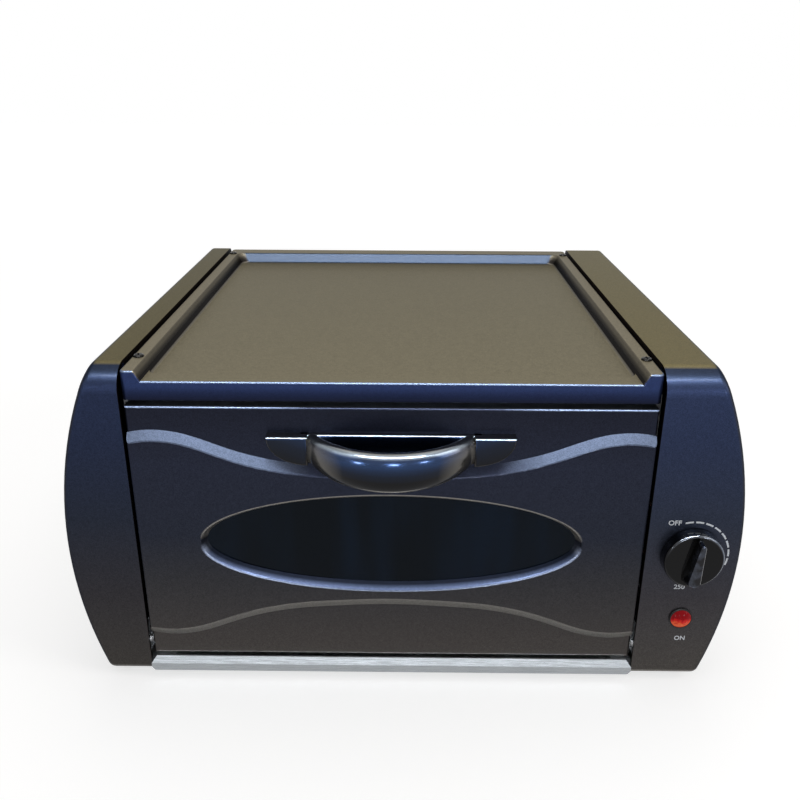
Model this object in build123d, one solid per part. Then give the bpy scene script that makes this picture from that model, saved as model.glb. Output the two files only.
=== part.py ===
from build123d import *
from math import acos, cos, degrees, radians, sin, sqrt
import os

# A countertop oven with a griddle top, a drop-down front door with an oval window, two bulging
# side covers with the controls on the right one, a wire rack and a crumb tray under the door.
# Millimetres. X is to the right, Y to the rear and Z up. While the pieces are made, X is zero in
# the middle of the door, Y is zero at the door's flat skin and Z is zero under the base plate.
# They are written out with the origin on the table, under the middle of the whole oven.

# Clearances
panel_gap = 0.2
seat_gap = 0.3
running_gap = 0.05
screw_gap = 0.3
element_gap = 0.25
# How far a drill runs past each end of its hole
pierce = 1.5

# Sheet metal
sheet = 0.8
base_sheet = 1.0

# Griddle, a casting that is the oven's roof
griddle_width = 365.0
griddle_depth = 394.5
griddle_skirt_bottom = 223.0
griddle_roof = 7.6
griddle_thickness = 4.0
griddle_lip_rise = 2.0
griddle_rail_rise = 7.3
griddle_rail_width = 10.0
griddle_back_width = 19.0
griddle_wall_slope = 0.55
griddle_apron = 16.5
griddle_skirt_wall = 2.0
griddle_corner = 4.0
griddle_recess_corner = 8.0
griddle_edge = 1.5
griddle_cove = 2.0
griddle_screw_inset = 4.8
griddle_screw_front = 30.5
griddle_screw_back = 22.5

# Door
door_side_gap = 2.2
door_top_gap = 4.5
door_bottom = 14.0
door_depth = 13.0
door_sheet = 1.0
door_hem = 10.0
door_edge = 1.6
field_proud = 4.0
field_rise = 0.05
field_crest = 52.8
field_slope = 7.0
field_edge = 2.0
# Each knot is a share of the door's half width and the wave's drop away from the crest
field_wave = ((0, 0), (0.21, 1.5), (0.37, 3.9), (0.63, 15.2), (0.79, 25.8), (0.89, 28.6), (1, 26.6))

# Oval window, drawn inwards to the glass
window_drop = 2.25
window_half_width = 137.5
window_half_height = 39.5
window_draw = 6.6
window_draft = 4.0
window_edge = 1.8
glass_thickness = 3.5
glass_margin = 9.0
glass_corner = 12.0

# Door handle
handle_half_width = 86.0
handle_drop = 18.5
handle_tip_height = 12.0
handle_wing_height = 23.0
handle_tip_rake = 2.0
handle_wing_depth = 9.0
handle_plate_depth = 3.0
handle_wing_length = 24.0
grip_reach = 39.0
grip_thickness = 13.0
grip_end_inset = 22.0
grip_root = 1.5
grip_end_height = 18.0
grip_height = 28.5
grip_edge = 6.0
grip_back_edge = 3.0
handle_edge = 1.5
handle_tip_corner = 4.0
handle_shoulder = 3.0
handle_screw_inset = 12.0
handle_screw_drop = 8.0
handle_screw_hole = 7.0

# Door hinge, two pins near the door's foot
hinge_y = 7.0
hinge_z = 22.0
hinge_pin_radius = 3.0
hinge_pin_head_radius = 4.5
hinge_pin_head = 2.0
hinge_plate = 2.0
hinge_plate_height = 30.0
pin_proud = 2.0
ear_front = 0.4
ear_bottom = 9.0
ear_top = 38.0
bush_radius = 5.0
bush_flange_radius = 6.5
bush_flange = 2.2

# Door stays, quadrants about the hinge that stop the door
door_open_angle = 75.0
stay_radius = 62.0
stay_width = 8.0
stay_head_width = 14.0
stay_head_angle = 9.0
stay_arm_end = 89.0
stay_stop_gap = 0.8
stay_slot_gap = 1.0
stay_thickness = 1.5
stay_wall_gap = 5.5
stay_foot = 13.0
stay_foot_height = 16.0
rivet_radius = 1.6
rivet_head_radius = 3.0
rivet_head = 0.8

# Door springs, between the stays' heads and tabs on the cavity walls
spring_wall_gap = 6.3
spring_radius = 3.2
spring_wire = 0.5
spring_eye = 1.5
spring_hook_share = 0.2
spring_tab_y = 152.0
spring_tab_z = 9.0
spring_tab_top = 14.0
spring_tab_bottom = 4.0

# Cavity
wall_space = 12.0
frame_y = 18.2
cavity_back_space = 14.0
frame_flange = 4.0
opening_bottom = 30.0
opening_drop = 19.0
rail_flange = 12.0
rail_lip = 6.0
bottom_rail_low = 12.0

# Back panel and base plate
back_panel_inset = 2.5
back_panel_drop = 1.0
back_panel_side_gap = 0.6
back_vent_width = 4.0
back_vent_height = 32.0
back_vent_pitch = 16.0
back_vent_count = 11
back_vent_drop = 37.0
base_front = 2.0
base_vent_length = 44.0
base_vent_width = 4.0
base_vent_pitch = 14.0
base_vent_count = 7
base_vent_front_y = 130.0
base_vent_back_inset = 112.5
base_return = 14.0

# Side covers
cover_gap = 1.5
cover_front = -3.0
cover_rise = 2.5
cover_wall = 2.2
left_cover_width = 51.5
right_cover_width = 69.0
bulge_radius = 325.0
bulge_height = 107.0
cover_brow = 18.0
cover_heel = 8.0
cover_foot_corner = 6.5
cover_edge = 5.0
cover_lip_height = 16.0
cover_lip_drop = 1.0
cover_lip_inset = 2.0
boss_radius = 4.5
boss_top = 26.0
boss_inset = 10.0
boss_front_y = 40.0
boss_back_inset = 37.5
rib_thickness = 2.0
pilot_gap = 0.05

# Feet
foot_height = 6.0
foot_top_radius = 10.0
foot_bottom_radius = 8.0
foot_out = 4.0
foot_front_y = 58.0
foot_back_inset = 62.5
foot_recess_radius = 4.5
foot_recess = 3.5

# Screws
screw_radius = 1.5
screw_head_radius = 3.0
screw_head = 1.6
griddle_screw_head_radius = 3.75
screw_length = 9.0
griddle_screw_length = 24.0
back_screw_end = 30.0
back_screw_out = 6.0
panel_screw_side = 21.8
panel_screw_low = 8.0
panel_screw_high = 6.5

# Heating elements
element_radius = 3.25
element_bend = 28.0
element_drop_bend = 16.0
element_pin_radius = 1.5
element_pin = 8.0
element_out = 18.0
element_right_inset = 52.0
element_left_inset = 34.0
element_front = 75.0
upper_element_near = 190.0
upper_element_back = 46.0
upper_element_fall = 18.5
upper_element_inset = 27.0
lower_element_near = 200.0
lower_element_back = 36.0
lower_element_z = 24.0
insulator_radius = 6.5
insulator_length = 7.0
clamp_width = 10.0
clamp_foot = 6.0
clamp_sheet = 1.0
clamp_x = (-80.0, 60.0)
bracket_y = (140.0, 260.0)
bracket_width = 12.0
bracket_sheet = 1.2
bracket_lip = 5.0

# Wire rack and its runners
rack_side_gap = 6.0
rack_front = 40.0
rack_back_gap = 16.0
rack_corner = 12.0
rack_frame_radius = 2.0
rack_rod_radius = 1.5
rack_rod_count = 11
runner_ledge = 100.0
runner_height = 7.0
runner_depth = 12.0
runner_front = 24.0
runner_back_gap = 4.0
runner_sheet = 0.9

# Crumb tray
tray_side_gap = 1.6
tray_back_gap = 11.0
tray_wall_top = 10.0
lip_side_gap = 0.7
lip_front = -6.0
lip_back = -1.0
lip_bottom = 0.5
lip_top = 12.6
lip_crease = 8.2
lip_top_edge = -2.4
lip_end_chamfer = 3.5

# Knob, thermostat and lamp
knob_out = 32.3
knob_z = 107.0
knob_radius = 22.0
knob_top_radius = 21.4
knob_disc = 8.5
knob_height = 17.5
knob_gap = 1.2
knob_edge = 2.0
knob_ridge_tip = 16.0
knob_ridge_tip_radius = 2.0
knob_ridge_tip_foot = 3.2
knob_ridge_heel = 12.0
knob_ridge_heel_radius = 4.4
knob_ridge_heel_foot = 9.8
knob_crest_radius = 1.2
knob_crest_turns = (0, 30, 60, 90)
knob_pointer_angle = 6.0
knob_bore_depth = 12.0
shaft_radius = 3.0
shaft_flat = 2.2
shaft_depth_inside = 10.0
neck_radius = 4.4
thermostat_size = 34.0
thermostat_depth = 19.0
thermostat_corner = 5.0
thermostat_screw_spacing = 28.0
thermostat_screw_radius = 1.4
thermostat_screw_head_radius = 2.6
blade_width = 6.3
blade_thickness = 0.8
blade_length = 8.0
lamp_out = 31.8
lamp_z = 52.4
lamp_bezel_radius = 8.5
lamp_bezel = 1.6
lamp_barrel_radius = 5.8
lamp_barrel = 15.0
lamp_lens_radius = 7.5
lamp_lens_proud = 3.2
lamp_lens_seat = 1.0
lamp_blade = 3.0
lamp_nut_radius = 8.5
lamp_nut = 3.0

# Mains entry in the right cover's back, terminal block and wires
gland_out = 28.0
gland_z = 40.0
gland_bore_radius = 3.6
gland_radius = 6.5
gland_barb_radius = 7.5
gland_flange_radius = 9.0
gland_flange = 3.0
gland_inside = 6.0
block_out = 13.0
block_width = 22.0
block_length = 30.0
block_back_inset = 72.5
block_height = 15.0
block_hole_inset = 6.0
block_hole_radius = 2.5
block_hole_depth = 6.0
wire_radius = 1.3
wire_bend = 8.0
wire_knob_rise = 60.0
wire_knob_run = 60.0
wire_element_rise = 150.0
wire_element_side = 12.0
wire_lamp_run = 80.0

# Heights worked out from the sizes above, from the griddle's skirt down and up
griddle_underside = griddle_skirt_bottom + griddle_roof
griddle_floor = griddle_underside + griddle_thickness
griddle_lip_top = griddle_floor + griddle_lip_rise
griddle_rail_top = griddle_lip_top + griddle_rail_rise
flange_top = griddle_underside
cover_top = griddle_rail_top + cover_rise
cover_lip_top = cover_top - cover_lip_drop
cover_lip_bottom = cover_lip_top - cover_lip_height
door_top = griddle_skirt_bottom - door_top_gap
field_middle = (door_bottom + door_top) / 2 + field_rise
window_middle = (door_bottom + door_top) / 2 - window_drop
handle_top = door_top - handle_drop
handle_tip_bottom = handle_top - handle_tip_height
handle_wing_bottom = handle_top - handle_wing_height
grip_end_bottom = handle_top - grip_end_height
grip_bottom = handle_top - grip_height
handle_screw_z = handle_top - handle_screw_drop
opening_top = griddle_skirt_bottom - opening_drop
back_panel_top = griddle_skirt_bottom - back_panel_drop
back_vent_z = back_panel_top - back_vent_drop
back_screw_high = back_panel_top - back_screw_end
back_screw_z = (back_screw_end, (back_screw_end + back_screw_high) / 2, back_screw_high)
panel_screw_z = (door_bottom + panel_screw_low, door_top - panel_screw_high)
upper_element_z = griddle_underside - element_gap - element_radius
upper_element_exit = upper_element_z - upper_element_fall
runner_top = runner_ledge + runner_height

# Widths worked out from the griddle's, outwards to the covers and inwards to the cavity
griddle_half_width = griddle_width / 2
griddle_screw_x = griddle_half_width - griddle_screw_inset
cover_inner = griddle_half_width + cover_gap
left_bulge = cover_inner + left_cover_width
right_bulge = cover_inner + right_cover_width
door_half_width = cover_inner - door_side_gap
panel_screw_x = door_half_width - panel_screw_side
lip_half_width = cover_inner - lip_side_gap
cavity_half_width = cover_inner - wall_space
flange_outer = cover_inner
frame_flange_outer = cover_inner + frame_flange
ear_inner = frame_flange_outer - sheet
hinge_reach = frame_flange_outer + pin_proud
stay_outer = cavity_half_width + stay_wall_gap
stay_inner = stay_outer - stay_thickness
spring_x = cavity_half_width + spring_wall_gap
back_panel_half_width = cover_inner - back_panel_side_gap
back_screw_x = cavity_half_width + back_screw_out
foot_x = cover_inner + foot_out
element_end = cavity_half_width + element_out
element_right = cavity_half_width - element_right_inset
element_left = element_left_inset - cavity_half_width
upper_element_drop = cavity_half_width - upper_element_inset
rack_half_width = cavity_half_width - rack_side_gap
tray_half_width = cavity_half_width - tray_side_gap
knob_x = cover_inner + knob_out
lamp_x = cover_inner + lamp_out
gland_x = cover_inner + gland_out
block_x = (cover_inner + block_out, cover_inner + block_out + block_width)
handle_wing_inner = handle_half_width - handle_wing_length
grip_half_width = handle_half_width - grip_end_inset
handle_screw_x = handle_half_width - handle_screw_inset
glass_half_width = window_half_width + glass_margin
glass_half_height = window_half_height + glass_margin

# Depths worked out from the griddle's
cover_back = griddle_depth
griddle_screws_y = (griddle_screw_front, griddle_depth - griddle_screw_back)
back_panel_front = griddle_depth - back_panel_inset
back_panel_back = back_panel_front + base_sheet
cavity_back = back_panel_front - cavity_back_space
rack_back = cavity_back - rack_back_gap
runner_back = cavity_back - runner_back_gap
tray_back = cavity_back - tray_back_gap
upper_element_y = (upper_element_near, cavity_back - upper_element_back)
lower_element_y = (lower_element_near, cavity_back - lower_element_back)
base_vent_row_y = (base_vent_front_y, griddle_depth - base_vent_back_inset)
boss_back_y = griddle_depth - boss_back_inset
boss_y = (boss_front_y, (boss_front_y + boss_back_y) / 2, boss_back_y)
foot_back_y = griddle_depth - foot_back_inset
block_back = griddle_depth - block_back_inset
block_y = (block_back - block_length, block_back)
wire_lamp_y = block_y[0] - wire_lamp_run
gland_back_y = cover_back + gland_flange
door_back = door_depth + door_sheet
glass_front = window_draw - field_proud
glass_back = glass_front + glass_thickness
knob_back_y = cover_front - knob_gap

# The point on the table that the pieces are written out about
origin_x = (right_bulge - left_bulge) / 2
origin_y = (gland_back_y - grip_reach) / 2


def block(x, y, z):
    """A box between a low and a high value on each axis."""
    spans = (x, y, z)
    middle = [(low + high) / 2 for low, high in spans]
    return Pos(*middle) * Box(*[high - low for low, high in spans])


def rod(start, direction, radius, length):
    """A round bar from its start point along a direction."""
    base = (Align.CENTER, Align.CENTER, Align.MIN)
    return Plane(origin=start, z_dir=direction) * Cylinder(radius, length, align=base)


def hole(start, direction, radius, length):
    """A drill through a wall: a bar that runs past both of the wall's faces."""
    entry = Vector(*start) - Vector(*direction) * pierce
    return rod(entry, direction, radius, length + 2 * pierce)


def outline(*points):
    """A closed face through corner points."""
    return make_face(Polyline(*points, close=True))


def front_view(sketch, y):
    """A sketch drawn in X and Z, stood up at a depth."""
    return Plane(origin=(0, y, 0), x_dir=(1, 0, 0), z_dir=(0, -1, 0)) * sketch


def along_y(sketch, low, high):
    """Extrude a sketch drawn in X and Z between two depths."""
    return extrude(front_view(sketch, high), amount=high - low)


def along_x(sketch, low, high):
    """Extrude a sketch drawn in Y and Z between two widths."""
    side = Plane(origin=(low, 0, 0), x_dir=(0, 1, 0), z_dir=(1, 0, 0))
    return extrude(side * sketch, amount=high - low)


def rectangle(x, y, z, corner=0.0):
    """A level rectangle, its corners rounded, for lofts along Z."""
    middle = Pos((x[0] + x[1]) / 2, (y[0] + y[1]) / 2, z)
    if corner:
        return middle * RectangleRounded(x[1] - x[0], y[1] - y[0], corner)
    return middle * Rectangle(x[1] - x[0], y[1] - y[0])


def both_sides(piece):
    """The right-hand piece and its mirror image on the left."""
    return joined([piece, mirror(piece, about=Plane.YZ)])


def joined(pieces):
    """Separate solids kept as one group."""
    return Compound([solid for piece in pieces for solid in piece.solids()])


def pan_screw(point, direction, length, head_radius=screw_head_radius):
    """A pan-head screw whose head stands on a point and whose shank runs along a direction."""
    away = tuple(-value for value in direction)
    head = rod(point, away, head_radius, screw_head)
    top = head.faces().sort_by(Axis(point, away))[-1]
    head = fillet(top.edges(), screw_head / 2)
    return head + rod(point, direction, screw_radius, length)


# Griddle
def griddle_slope(height):
    """How far the recess wall leans in over a height."""
    return griddle_wall_slope * height


def griddle_plate():
    body = block(
        (-griddle_half_width, griddle_half_width),
        (0, griddle_depth),
        (griddle_skirt_bottom, griddle_rail_top),
    )
    body = fillet(body.edges().filter_by(Axis.Z), griddle_corner)
    mouth = griddle_half_width - griddle_rail_width
    back = griddle_depth - griddle_back_width
    rail_drop = griddle_slope(griddle_rail_top - griddle_lip_top)
    floor_drop = griddle_slope(griddle_lip_top - griddle_floor)
    ahead = -2 * griddle_apron
    shelf = mouth - rail_drop
    floor = shelf - floor_drop
    lean = griddle_slope(griddle_edge)
    upper = loft(
        [
            rectangle(
                (-shelf, shelf),
                (ahead, back - rail_drop),
                griddle_lip_top,
                griddle_recess_corner,
            ),
            rectangle(
                (-mouth - lean, mouth + lean),
                (ahead, back + lean),
                griddle_rail_top + griddle_edge,
                griddle_recess_corner,
            ),
        ],
        ruled=True,
    )
    lower = loft(
        [
            rectangle(
                (-floor, floor),
                (griddle_apron, back - rail_drop - floor_drop),
                griddle_floor,
                griddle_recess_corner,
            ),
            rectangle(
                (-shelf, shelf),
                (griddle_apron - floor_drop, back - rail_drop),
                griddle_lip_top,
                griddle_recess_corner,
            ),
        ],
        ruled=True,
    )
    body = body - upper - lower
    low, high = griddle_floor - running_gap, griddle_floor + running_gap
    body = fillet(body.edges().filter_by_position(Axis.Z, low, high), griddle_cove)
    front = body.faces().filter_by(Plane.XZ).sort_by(Axis.Y)[0]
    front_edges = [edge for edge in front.edges() if edge.center().Z > griddle_underside]
    low, high = griddle_rail_top - running_gap, griddle_rail_top + running_gap
    crest = [
        edge
        for edge in body.edges().filter_by_position(Axis.Z, low, high)
        if edge.center().Y > running_gap
    ]
    upright = [edge for edge in front_edges if edge.bounding_box().size.X > running_gap]
    body = fillet(upright + crest, griddle_edge)
    skirt = griddle_half_width - griddle_skirt_wall
    body -= block(
        (-skirt, skirt),
        (griddle_skirt_wall, griddle_depth - griddle_skirt_wall),
        (griddle_skirt_bottom - 1, griddle_underside),
    )
    for x in (-griddle_screw_x, griddle_screw_x):
        for y in griddle_screws_y:
            body -= hole(
                (x, y, griddle_underside),
                (0, 0, 1),
                screw_radius + screw_gap,
                griddle_rail_top - griddle_underside,
            )
    return body


def griddle_screws():
    return joined(
        pan_screw((x, y, griddle_rail_top), (0, 0, -1), griddle_screw_length, griddle_screw_head_radius)
        for x in (-griddle_screw_x, griddle_screw_x)
        for y in griddle_screws_y
    )


# Side covers
def cover_outline(bulge, wall, inner, corner):
    """Front view of a cover, drawn in by its wall, running on past the top that its side view cuts."""
    radius = bulge_radius - wall
    centre = bulge - bulge_radius
    low = wall
    high = cover_top + pierce

    def reach(z):
        return centre + sqrt(radius**2 - (z - bulge_height) ** 2)

    face = make_face(
        [
            Line((inner, low), (reach(low), low)),
            ThreePointArc((reach(low), low), (centre + radius, bulge_height), (reach(high), high)),
            Line((reach(high), high), (inner, high)),
            Line((inner, high), (inner, low)),
        ]
    )
    foot = face.vertices().group_by(Axis.Y)[0].sort_by(Axis.X)[-1]
    return fillet(foot, corner)


def cover_side_outline(wall):
    """Side view of a cover, with its brow at the front and heel at the back."""
    front = cover_front + wall
    back = cover_back - wall
    high = cover_top - wall
    face = outline((front, -pierce), (back, -pierce), (back, high), (front, high))
    top = face.vertices().group_by(Axis.Y)[-1].sort_by(Axis.X)
    face = fillet(top[0], cover_brow - wall)
    top = face.vertices().group_by(Axis.Y)[-1].sort_by(Axis.X)
    return fillet(top[-1], cover_heel - wall)


def base_edge(bulge):
    """Where the base plate ends under a cover."""
    centre = bulge - bulge_radius
    return centre + sqrt(bulge_radius**2 - bulge_height**2) - base_return


def cover_shell(bulge):
    """A right-hand cover: a hollow shell, open to the cavity, with bosses for the base screws."""
    body = along_y(cover_outline(bulge, 0, cover_inner, cover_foot_corner), cover_front, cover_back)
    body &= along_x(cover_side_outline(0), cover_inner - 1, bulge + 1)
    rim = [
        edge
        for edge in body.edges().filter_by(Axis.X, reverse=True)
        if edge.center().X > cover_inner + 1
        and not (edge.geom_type == GeomType.LINE and edge.center().Z < bulge_height)
    ]
    body = fillet(rim, cover_edge)
    open_side = cover_inner - 10
    hollow = along_y(
        cover_outline(bulge, cover_wall, open_side, cover_foot_corner - cover_wall),
        cover_front + cover_wall,
        cover_back - cover_wall,
    )
    hollow &= along_x(cover_side_outline(cover_wall), open_side, bulge)
    shell = body - hollow
    shell -= block(
        (open_side, base_edge(bulge) + panel_gap),
        (cover_front + cover_wall, cover_back - cover_wall),
        (-1, cover_wall + 1),
    )
    shell += block(
        (cover_inner, cover_inner + cover_wall),
        (cover_front + cover_brow + cover_lip_inset, cover_back - cover_heel - cover_lip_inset),
        (cover_lip_bottom, cover_lip_top),
    )
    boss_x = base_edge(bulge) - boss_inset
    for y in boss_y:
        rib_y = (y - rib_thickness / 2, y + rib_thickness / 2)
        rib = block((boss_x, bulge), rib_y, (cover_wall, boss_top))
        shell += rib & body
        shell += rod((boss_x, y, base_sheet), (0, 0, 1), boss_radius, boss_top - base_sheet)
    for y in boss_y:
        shell -= rod((boss_x, y, 0), (0, 0, 1), screw_radius + pilot_gap, boss_top - cover_wall)
    return shell


def left_side_cover():
    return mirror(cover_shell(left_bulge), about=Plane.YZ)


def right_side_cover():
    shell = cover_shell(right_bulge)
    front = cover_front
    shell -= hole((knob_x, front, knob_z), (0, 1, 0), neck_radius + panel_gap, cover_wall)
    shell -= hole((lamp_x, front, lamp_z), (0, 1, 0), lamp_barrel_radius + panel_gap, cover_wall)
    for x in thermostat_screw_places():
        shell -= hole((x, front, knob_z), (0, 1, 0), thermostat_screw_radius + running_gap, cover_wall)
        shell -= thermostat_screw_head(x, running_gap)
    shell -= hole((gland_x, cover_back, gland_z), (0, -1, 0), gland_radius + running_gap, cover_wall)
    return shell


# Base plate, back panel and feet
def base_plate():
    left = -base_edge(left_bulge)
    right = base_edge(right_bulge)
    back = cover_back - cover_wall - panel_gap
    plate = block((left, right), (base_front, back), (0, base_sheet))
    middle = (base_vent_count - 1) / 2
    for row in base_vent_row_y:
        for index in range(base_vent_count):
            y = row + (index - middle) * base_vent_pitch
            slot = Pos(0, y, base_sheet / 2) * SlotOverall(base_vent_length, base_vent_width)
            plate -= extrude(slot, amount=base_sheet, both=True)
    vent_x = (frame_flange_outer + right - boss_inset - boss_radius) / 2
    for index in range(base_vent_count):
        y = (boss_y[0] + boss_y[1]) / 2 + (index - middle) * base_vent_pitch
        slot = Pos(vent_x, y, base_sheet / 2) * SlotOverall(base_vent_length / 4, base_vent_width)
        plate -= extrude(slot, amount=base_sheet, both=True)
    for x, y in foot_places():
        plate -= hole((x, y, 0), (0, 0, 1), screw_radius + running_gap, base_sheet)
    for x, y in base_screw_places():
        plate -= hole((x, y, 0), (0, 0, 1), screw_radius + screw_gap, base_sheet)
    return plate


def foot_places():
    return [(x, y) for x in (-foot_x, foot_x) for y in (foot_front_y, foot_back_y)]


def base_screw_places():
    left = -base_edge(left_bulge) + boss_inset
    right = base_edge(right_bulge) - boss_inset
    return [(x, y) for x in (left, right) for y in boss_y]


def back_panel():
    panel = block(
        (-back_panel_half_width, back_panel_half_width),
        (back_panel_front, back_panel_back),
        (base_sheet + panel_gap, back_panel_top),
    )
    for index in range(back_vent_count):
        x = (index - (back_vent_count - 1) / 2) * back_vent_pitch
        slot = Pos(x, back_vent_z) * Rot(0, 0, 90) * SlotOverall(back_vent_height, back_vent_width)
        panel -= along_y(slot, back_panel_front - pierce, back_panel_back + pierce)
    for x, z in back_screw_places():
        panel -= hole((x, back_panel_front, z), (0, 1, 0), screw_radius + screw_gap, base_sheet)
    return panel


def back_screw_places():
    return [(x, z) for x in (-back_screw_x, back_screw_x) for z in back_screw_z]


def back_panel_screws():
    return joined(
        pan_screw((x, back_panel_back, z), (0, -1, 0), screw_length) for x, z in back_screw_places()
    )


def base_screws():
    return joined(pan_screw((x, y, 0), (0, 0, 1), screw_length) for x, y in base_screw_places())


def rubber_feet():
    feet = []
    for x, y in foot_places():
        foot = loft(
            [
                Pos(x, y, -foot_height) * Circle(foot_bottom_radius),
                Pos(x, y, 0) * Circle(foot_top_radius),
            ]
        )
        foot -= rod((x, y, -foot_height), (0, 0, 1), foot_recess_radius, foot_recess)
        foot -= hole((x, y, -foot_height), (0, 0, 1), screw_radius + running_gap, foot_height)
        feet.append(foot)
    return joined(feet)


def foot_screws():
    seat = foot_recess - foot_height
    return joined(pan_screw((x, y, seat), (0, 0, 1), screw_length) for x, y in foot_places())


# Cavity
def channel(web, flange_end, low, high, thickness):
    """A C section: a web between two flanges that turn the same way, corner by corner."""
    inner = web + thickness
    return outline(
        (flange_end[0], low),
        (web, low),
        (web, high),
        (flange_end[1], high),
        (flange_end[1], high - thickness),
        (inner, high - thickness),
        (inner, low + thickness),
        (flange_end[0], low + thickness),
    )


def right_wall(element_side):
    """The right cavity wall with its flanges, hinge ear and spring tab."""
    seat_outer = griddle_half_width - griddle_skirt_wall - seat_gap
    profile = channel(cavity_half_width, (flange_outer, seat_outer), base_sheet, flange_top, sheet)
    back = back_panel_front
    wall = along_y(profile, frame_y, back)
    web = cavity_half_width + sheet
    low = base_sheet + sheet
    high = flange_top - sheet
    under_skirt = griddle_skirt_bottom - seat_gap
    wall += block((web, frame_flange_outer), (frame_y, frame_y + sheet), (low, under_skirt))
    wall += block((web, seat_outer), (frame_y, frame_y + sheet), (low, high))
    wall += block((web, flange_outer), (back - sheet, back), (low, under_skirt))
    ear = block((ear_inner, frame_flange_outer), (ear_front, frame_y + sheet), (ear_bottom, ear_top))
    ear -= hole((ear_inner, hinge_y, hinge_z), (1, 0, 0), bush_radius, frame_flange_outer - ear_inner)
    wall += ear
    slot_inner = stay_radius - stay_width / 2 - stay_slot_gap
    slot_outer = stay_radius + stay_width / 2 + stay_slot_gap
    slot_low = hinge_z + sqrt(slot_inner**2 - (frame_y + sheet - hinge_y) ** 2)
    slot_high = hinge_z + sqrt(slot_outer**2 - (frame_y - hinge_y) ** 2)
    wall -= block(
        (stay_inner - stay_slot_gap, stay_outer + stay_slot_gap),
        (frame_y - pierce, frame_y + sheet + pierce),
        (slot_low, slot_high),
    )
    tab = block(
        (web, spring_x + spring_radius),
        (spring_tab_y, spring_tab_y + sheet),
        (spring_tab_bottom, spring_tab_top),
    )
    tab -= hole((spring_x, spring_tab_y, spring_tab_z), (0, 1, 0), spring_eye, sheet)
    wall += tab
    for y in griddle_screws_y:
        wall -= hole((griddle_screw_x, y, high), (0, 0, 1), screw_radius + running_gap, sheet)
    for z in back_screw_z:
        wall -= hole((back_screw_x, back - sheet, z), (0, 1, 0), screw_radius + running_gap, sheet)
    if element_side:
        for y, z in element_exits():
            wall -= hole((cavity_half_width, y, z), (1, 0, 0), insulator_radius, sheet)
    return wall


def right_cavity_wall():
    return right_wall(True)


def left_cavity_wall():
    return mirror(right_wall(False), about=Plane.YZ)


def cross_span():
    """Where a piece between the cavity walls starts and ends."""
    return (-cavity_half_width + panel_gap, cavity_half_width - panel_gap)


def cavity_back_wall():
    end = back_panel_front - base_sheet
    return along_x(channel(cavity_back, (end, end), base_sheet, flange_top, sheet), *cross_span())


def front_top_rail():
    ends = (frame_y + rail_lip, frame_y + rail_flange)
    return along_x(channel(frame_y, ends, opening_top, flange_top, sheet), *cross_span())


def front_bottom_rail():
    ends = (frame_y + rail_lip, frame_y + rail_flange)
    return along_x(channel(frame_y, ends, bottom_rail_low, opening_bottom, sheet), *cross_span())


def right_runner():
    """A C-shaped runner that carries the rack's side rod."""
    outer = cavity_half_width - panel_gap / 2
    inner = outer - runner_depth
    low = runner_ledge - runner_sheet
    high = runner_top + runner_sheet
    profile = outline(
        (inner, low),
        (outer, low),
        (outer, high),
        (inner, high),
        (inner, runner_top),
        (outer - runner_sheet, runner_top),
        (outer - runner_sheet, runner_ledge),
        (inner, runner_ledge),
    )
    return along_y(profile, runner_front, runner_back)


def right_rack_runner():
    return right_runner()


def left_rack_runner():
    return mirror(right_runner(), about=Plane.YZ)


def wire_rack():
    z = runner_ledge + seat_gap + rack_frame_radius
    half = rack_half_width
    path = FilletPolyline(
        (0, rack_front, z),
        (half, rack_front, z),
        (half, rack_back, z),
        (0, rack_back, z),
        radius=rack_corner,
    )
    section = Plane(origin=(0, rack_front, z), z_dir=(1, 0, 0)) * Circle(rack_frame_radius)
    rack = sweep(section, path=path)
    rack += mirror(rack, about=Plane.YZ)
    pitch = 2 * (half - rack_corner) / (rack_rod_count - 1)
    rods = []
    for index in range(rack_rod_count):
        x = (index - (rack_rod_count - 1) / 2) * pitch
        top = z + rack_frame_radius - rack_rod_radius / 2
        rods.append(rod((x, rack_front, top), (0, 1, 0), rack_rod_radius, rack_back - rack_front))
    return rack + rods


# Heating elements
def element_exits():
    """Where the four element ends pass the right cavity wall."""
    upper = [(y, upper_element_exit) for y in upper_element_y]
    lower = [(y, lower_element_z) for y in lower_element_y]
    return upper + lower


def element(points, bends):
    """A sheathed element along a path, with a thin terminal pin at each end."""
    path = FilletPolyline(*points, radius=bends)
    tube = sweep(Plane(origin=points[0], z_dir=(-1, 0, 0)) * Circle(element_radius), path=path)
    for end in (points[0], points[-1]):
        tube += rod(end, (1, 0, 0), element_pin_radius, element_pin)
    return tube


def upper_heating_element():
    near, far = upper_element_y
    high, low = upper_element_z, upper_element_exit
    drop = high - low
    points = [
        (element_end, near, low),
        (upper_element_drop + drop, near, low),
        (upper_element_drop, near, high),
        (element_right, near, high),
        (element_right, element_front, high),
        (element_left, element_front, high),
        (element_left, far, high),
        (upper_element_drop, far, high),
        (upper_element_drop + drop, far, low),
        (element_end, far, low),
    ]
    soft = element_drop_bend
    wide = element_bend
    tight = 2.5 * element_radius
    return element(points, [soft, soft, tight, wide, wide, wide, soft, soft])


def lower_heating_element():
    near, far = lower_element_y
    z = lower_element_z
    points = [
        (element_end, near, z),
        (element_right, near, z),
        (element_right, element_front, z),
        (element_left, element_front, z),
        (element_left, far, z),
        (element_end, far, z),
    ]
    return element(points, element_bend)


def element_insulators():
    bushes = []
    start = cavity_half_width - insulator_length / 3
    for y, z in element_exits():
        bush = rod((start, y, z), (1, 0, 0), insulator_radius - running_gap, insulator_length)
        bush -= hole((start, y, z), (1, 0, 0), element_radius + running_gap, insulator_length)
        bushes.append(bush)
    return joined(bushes)


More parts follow.
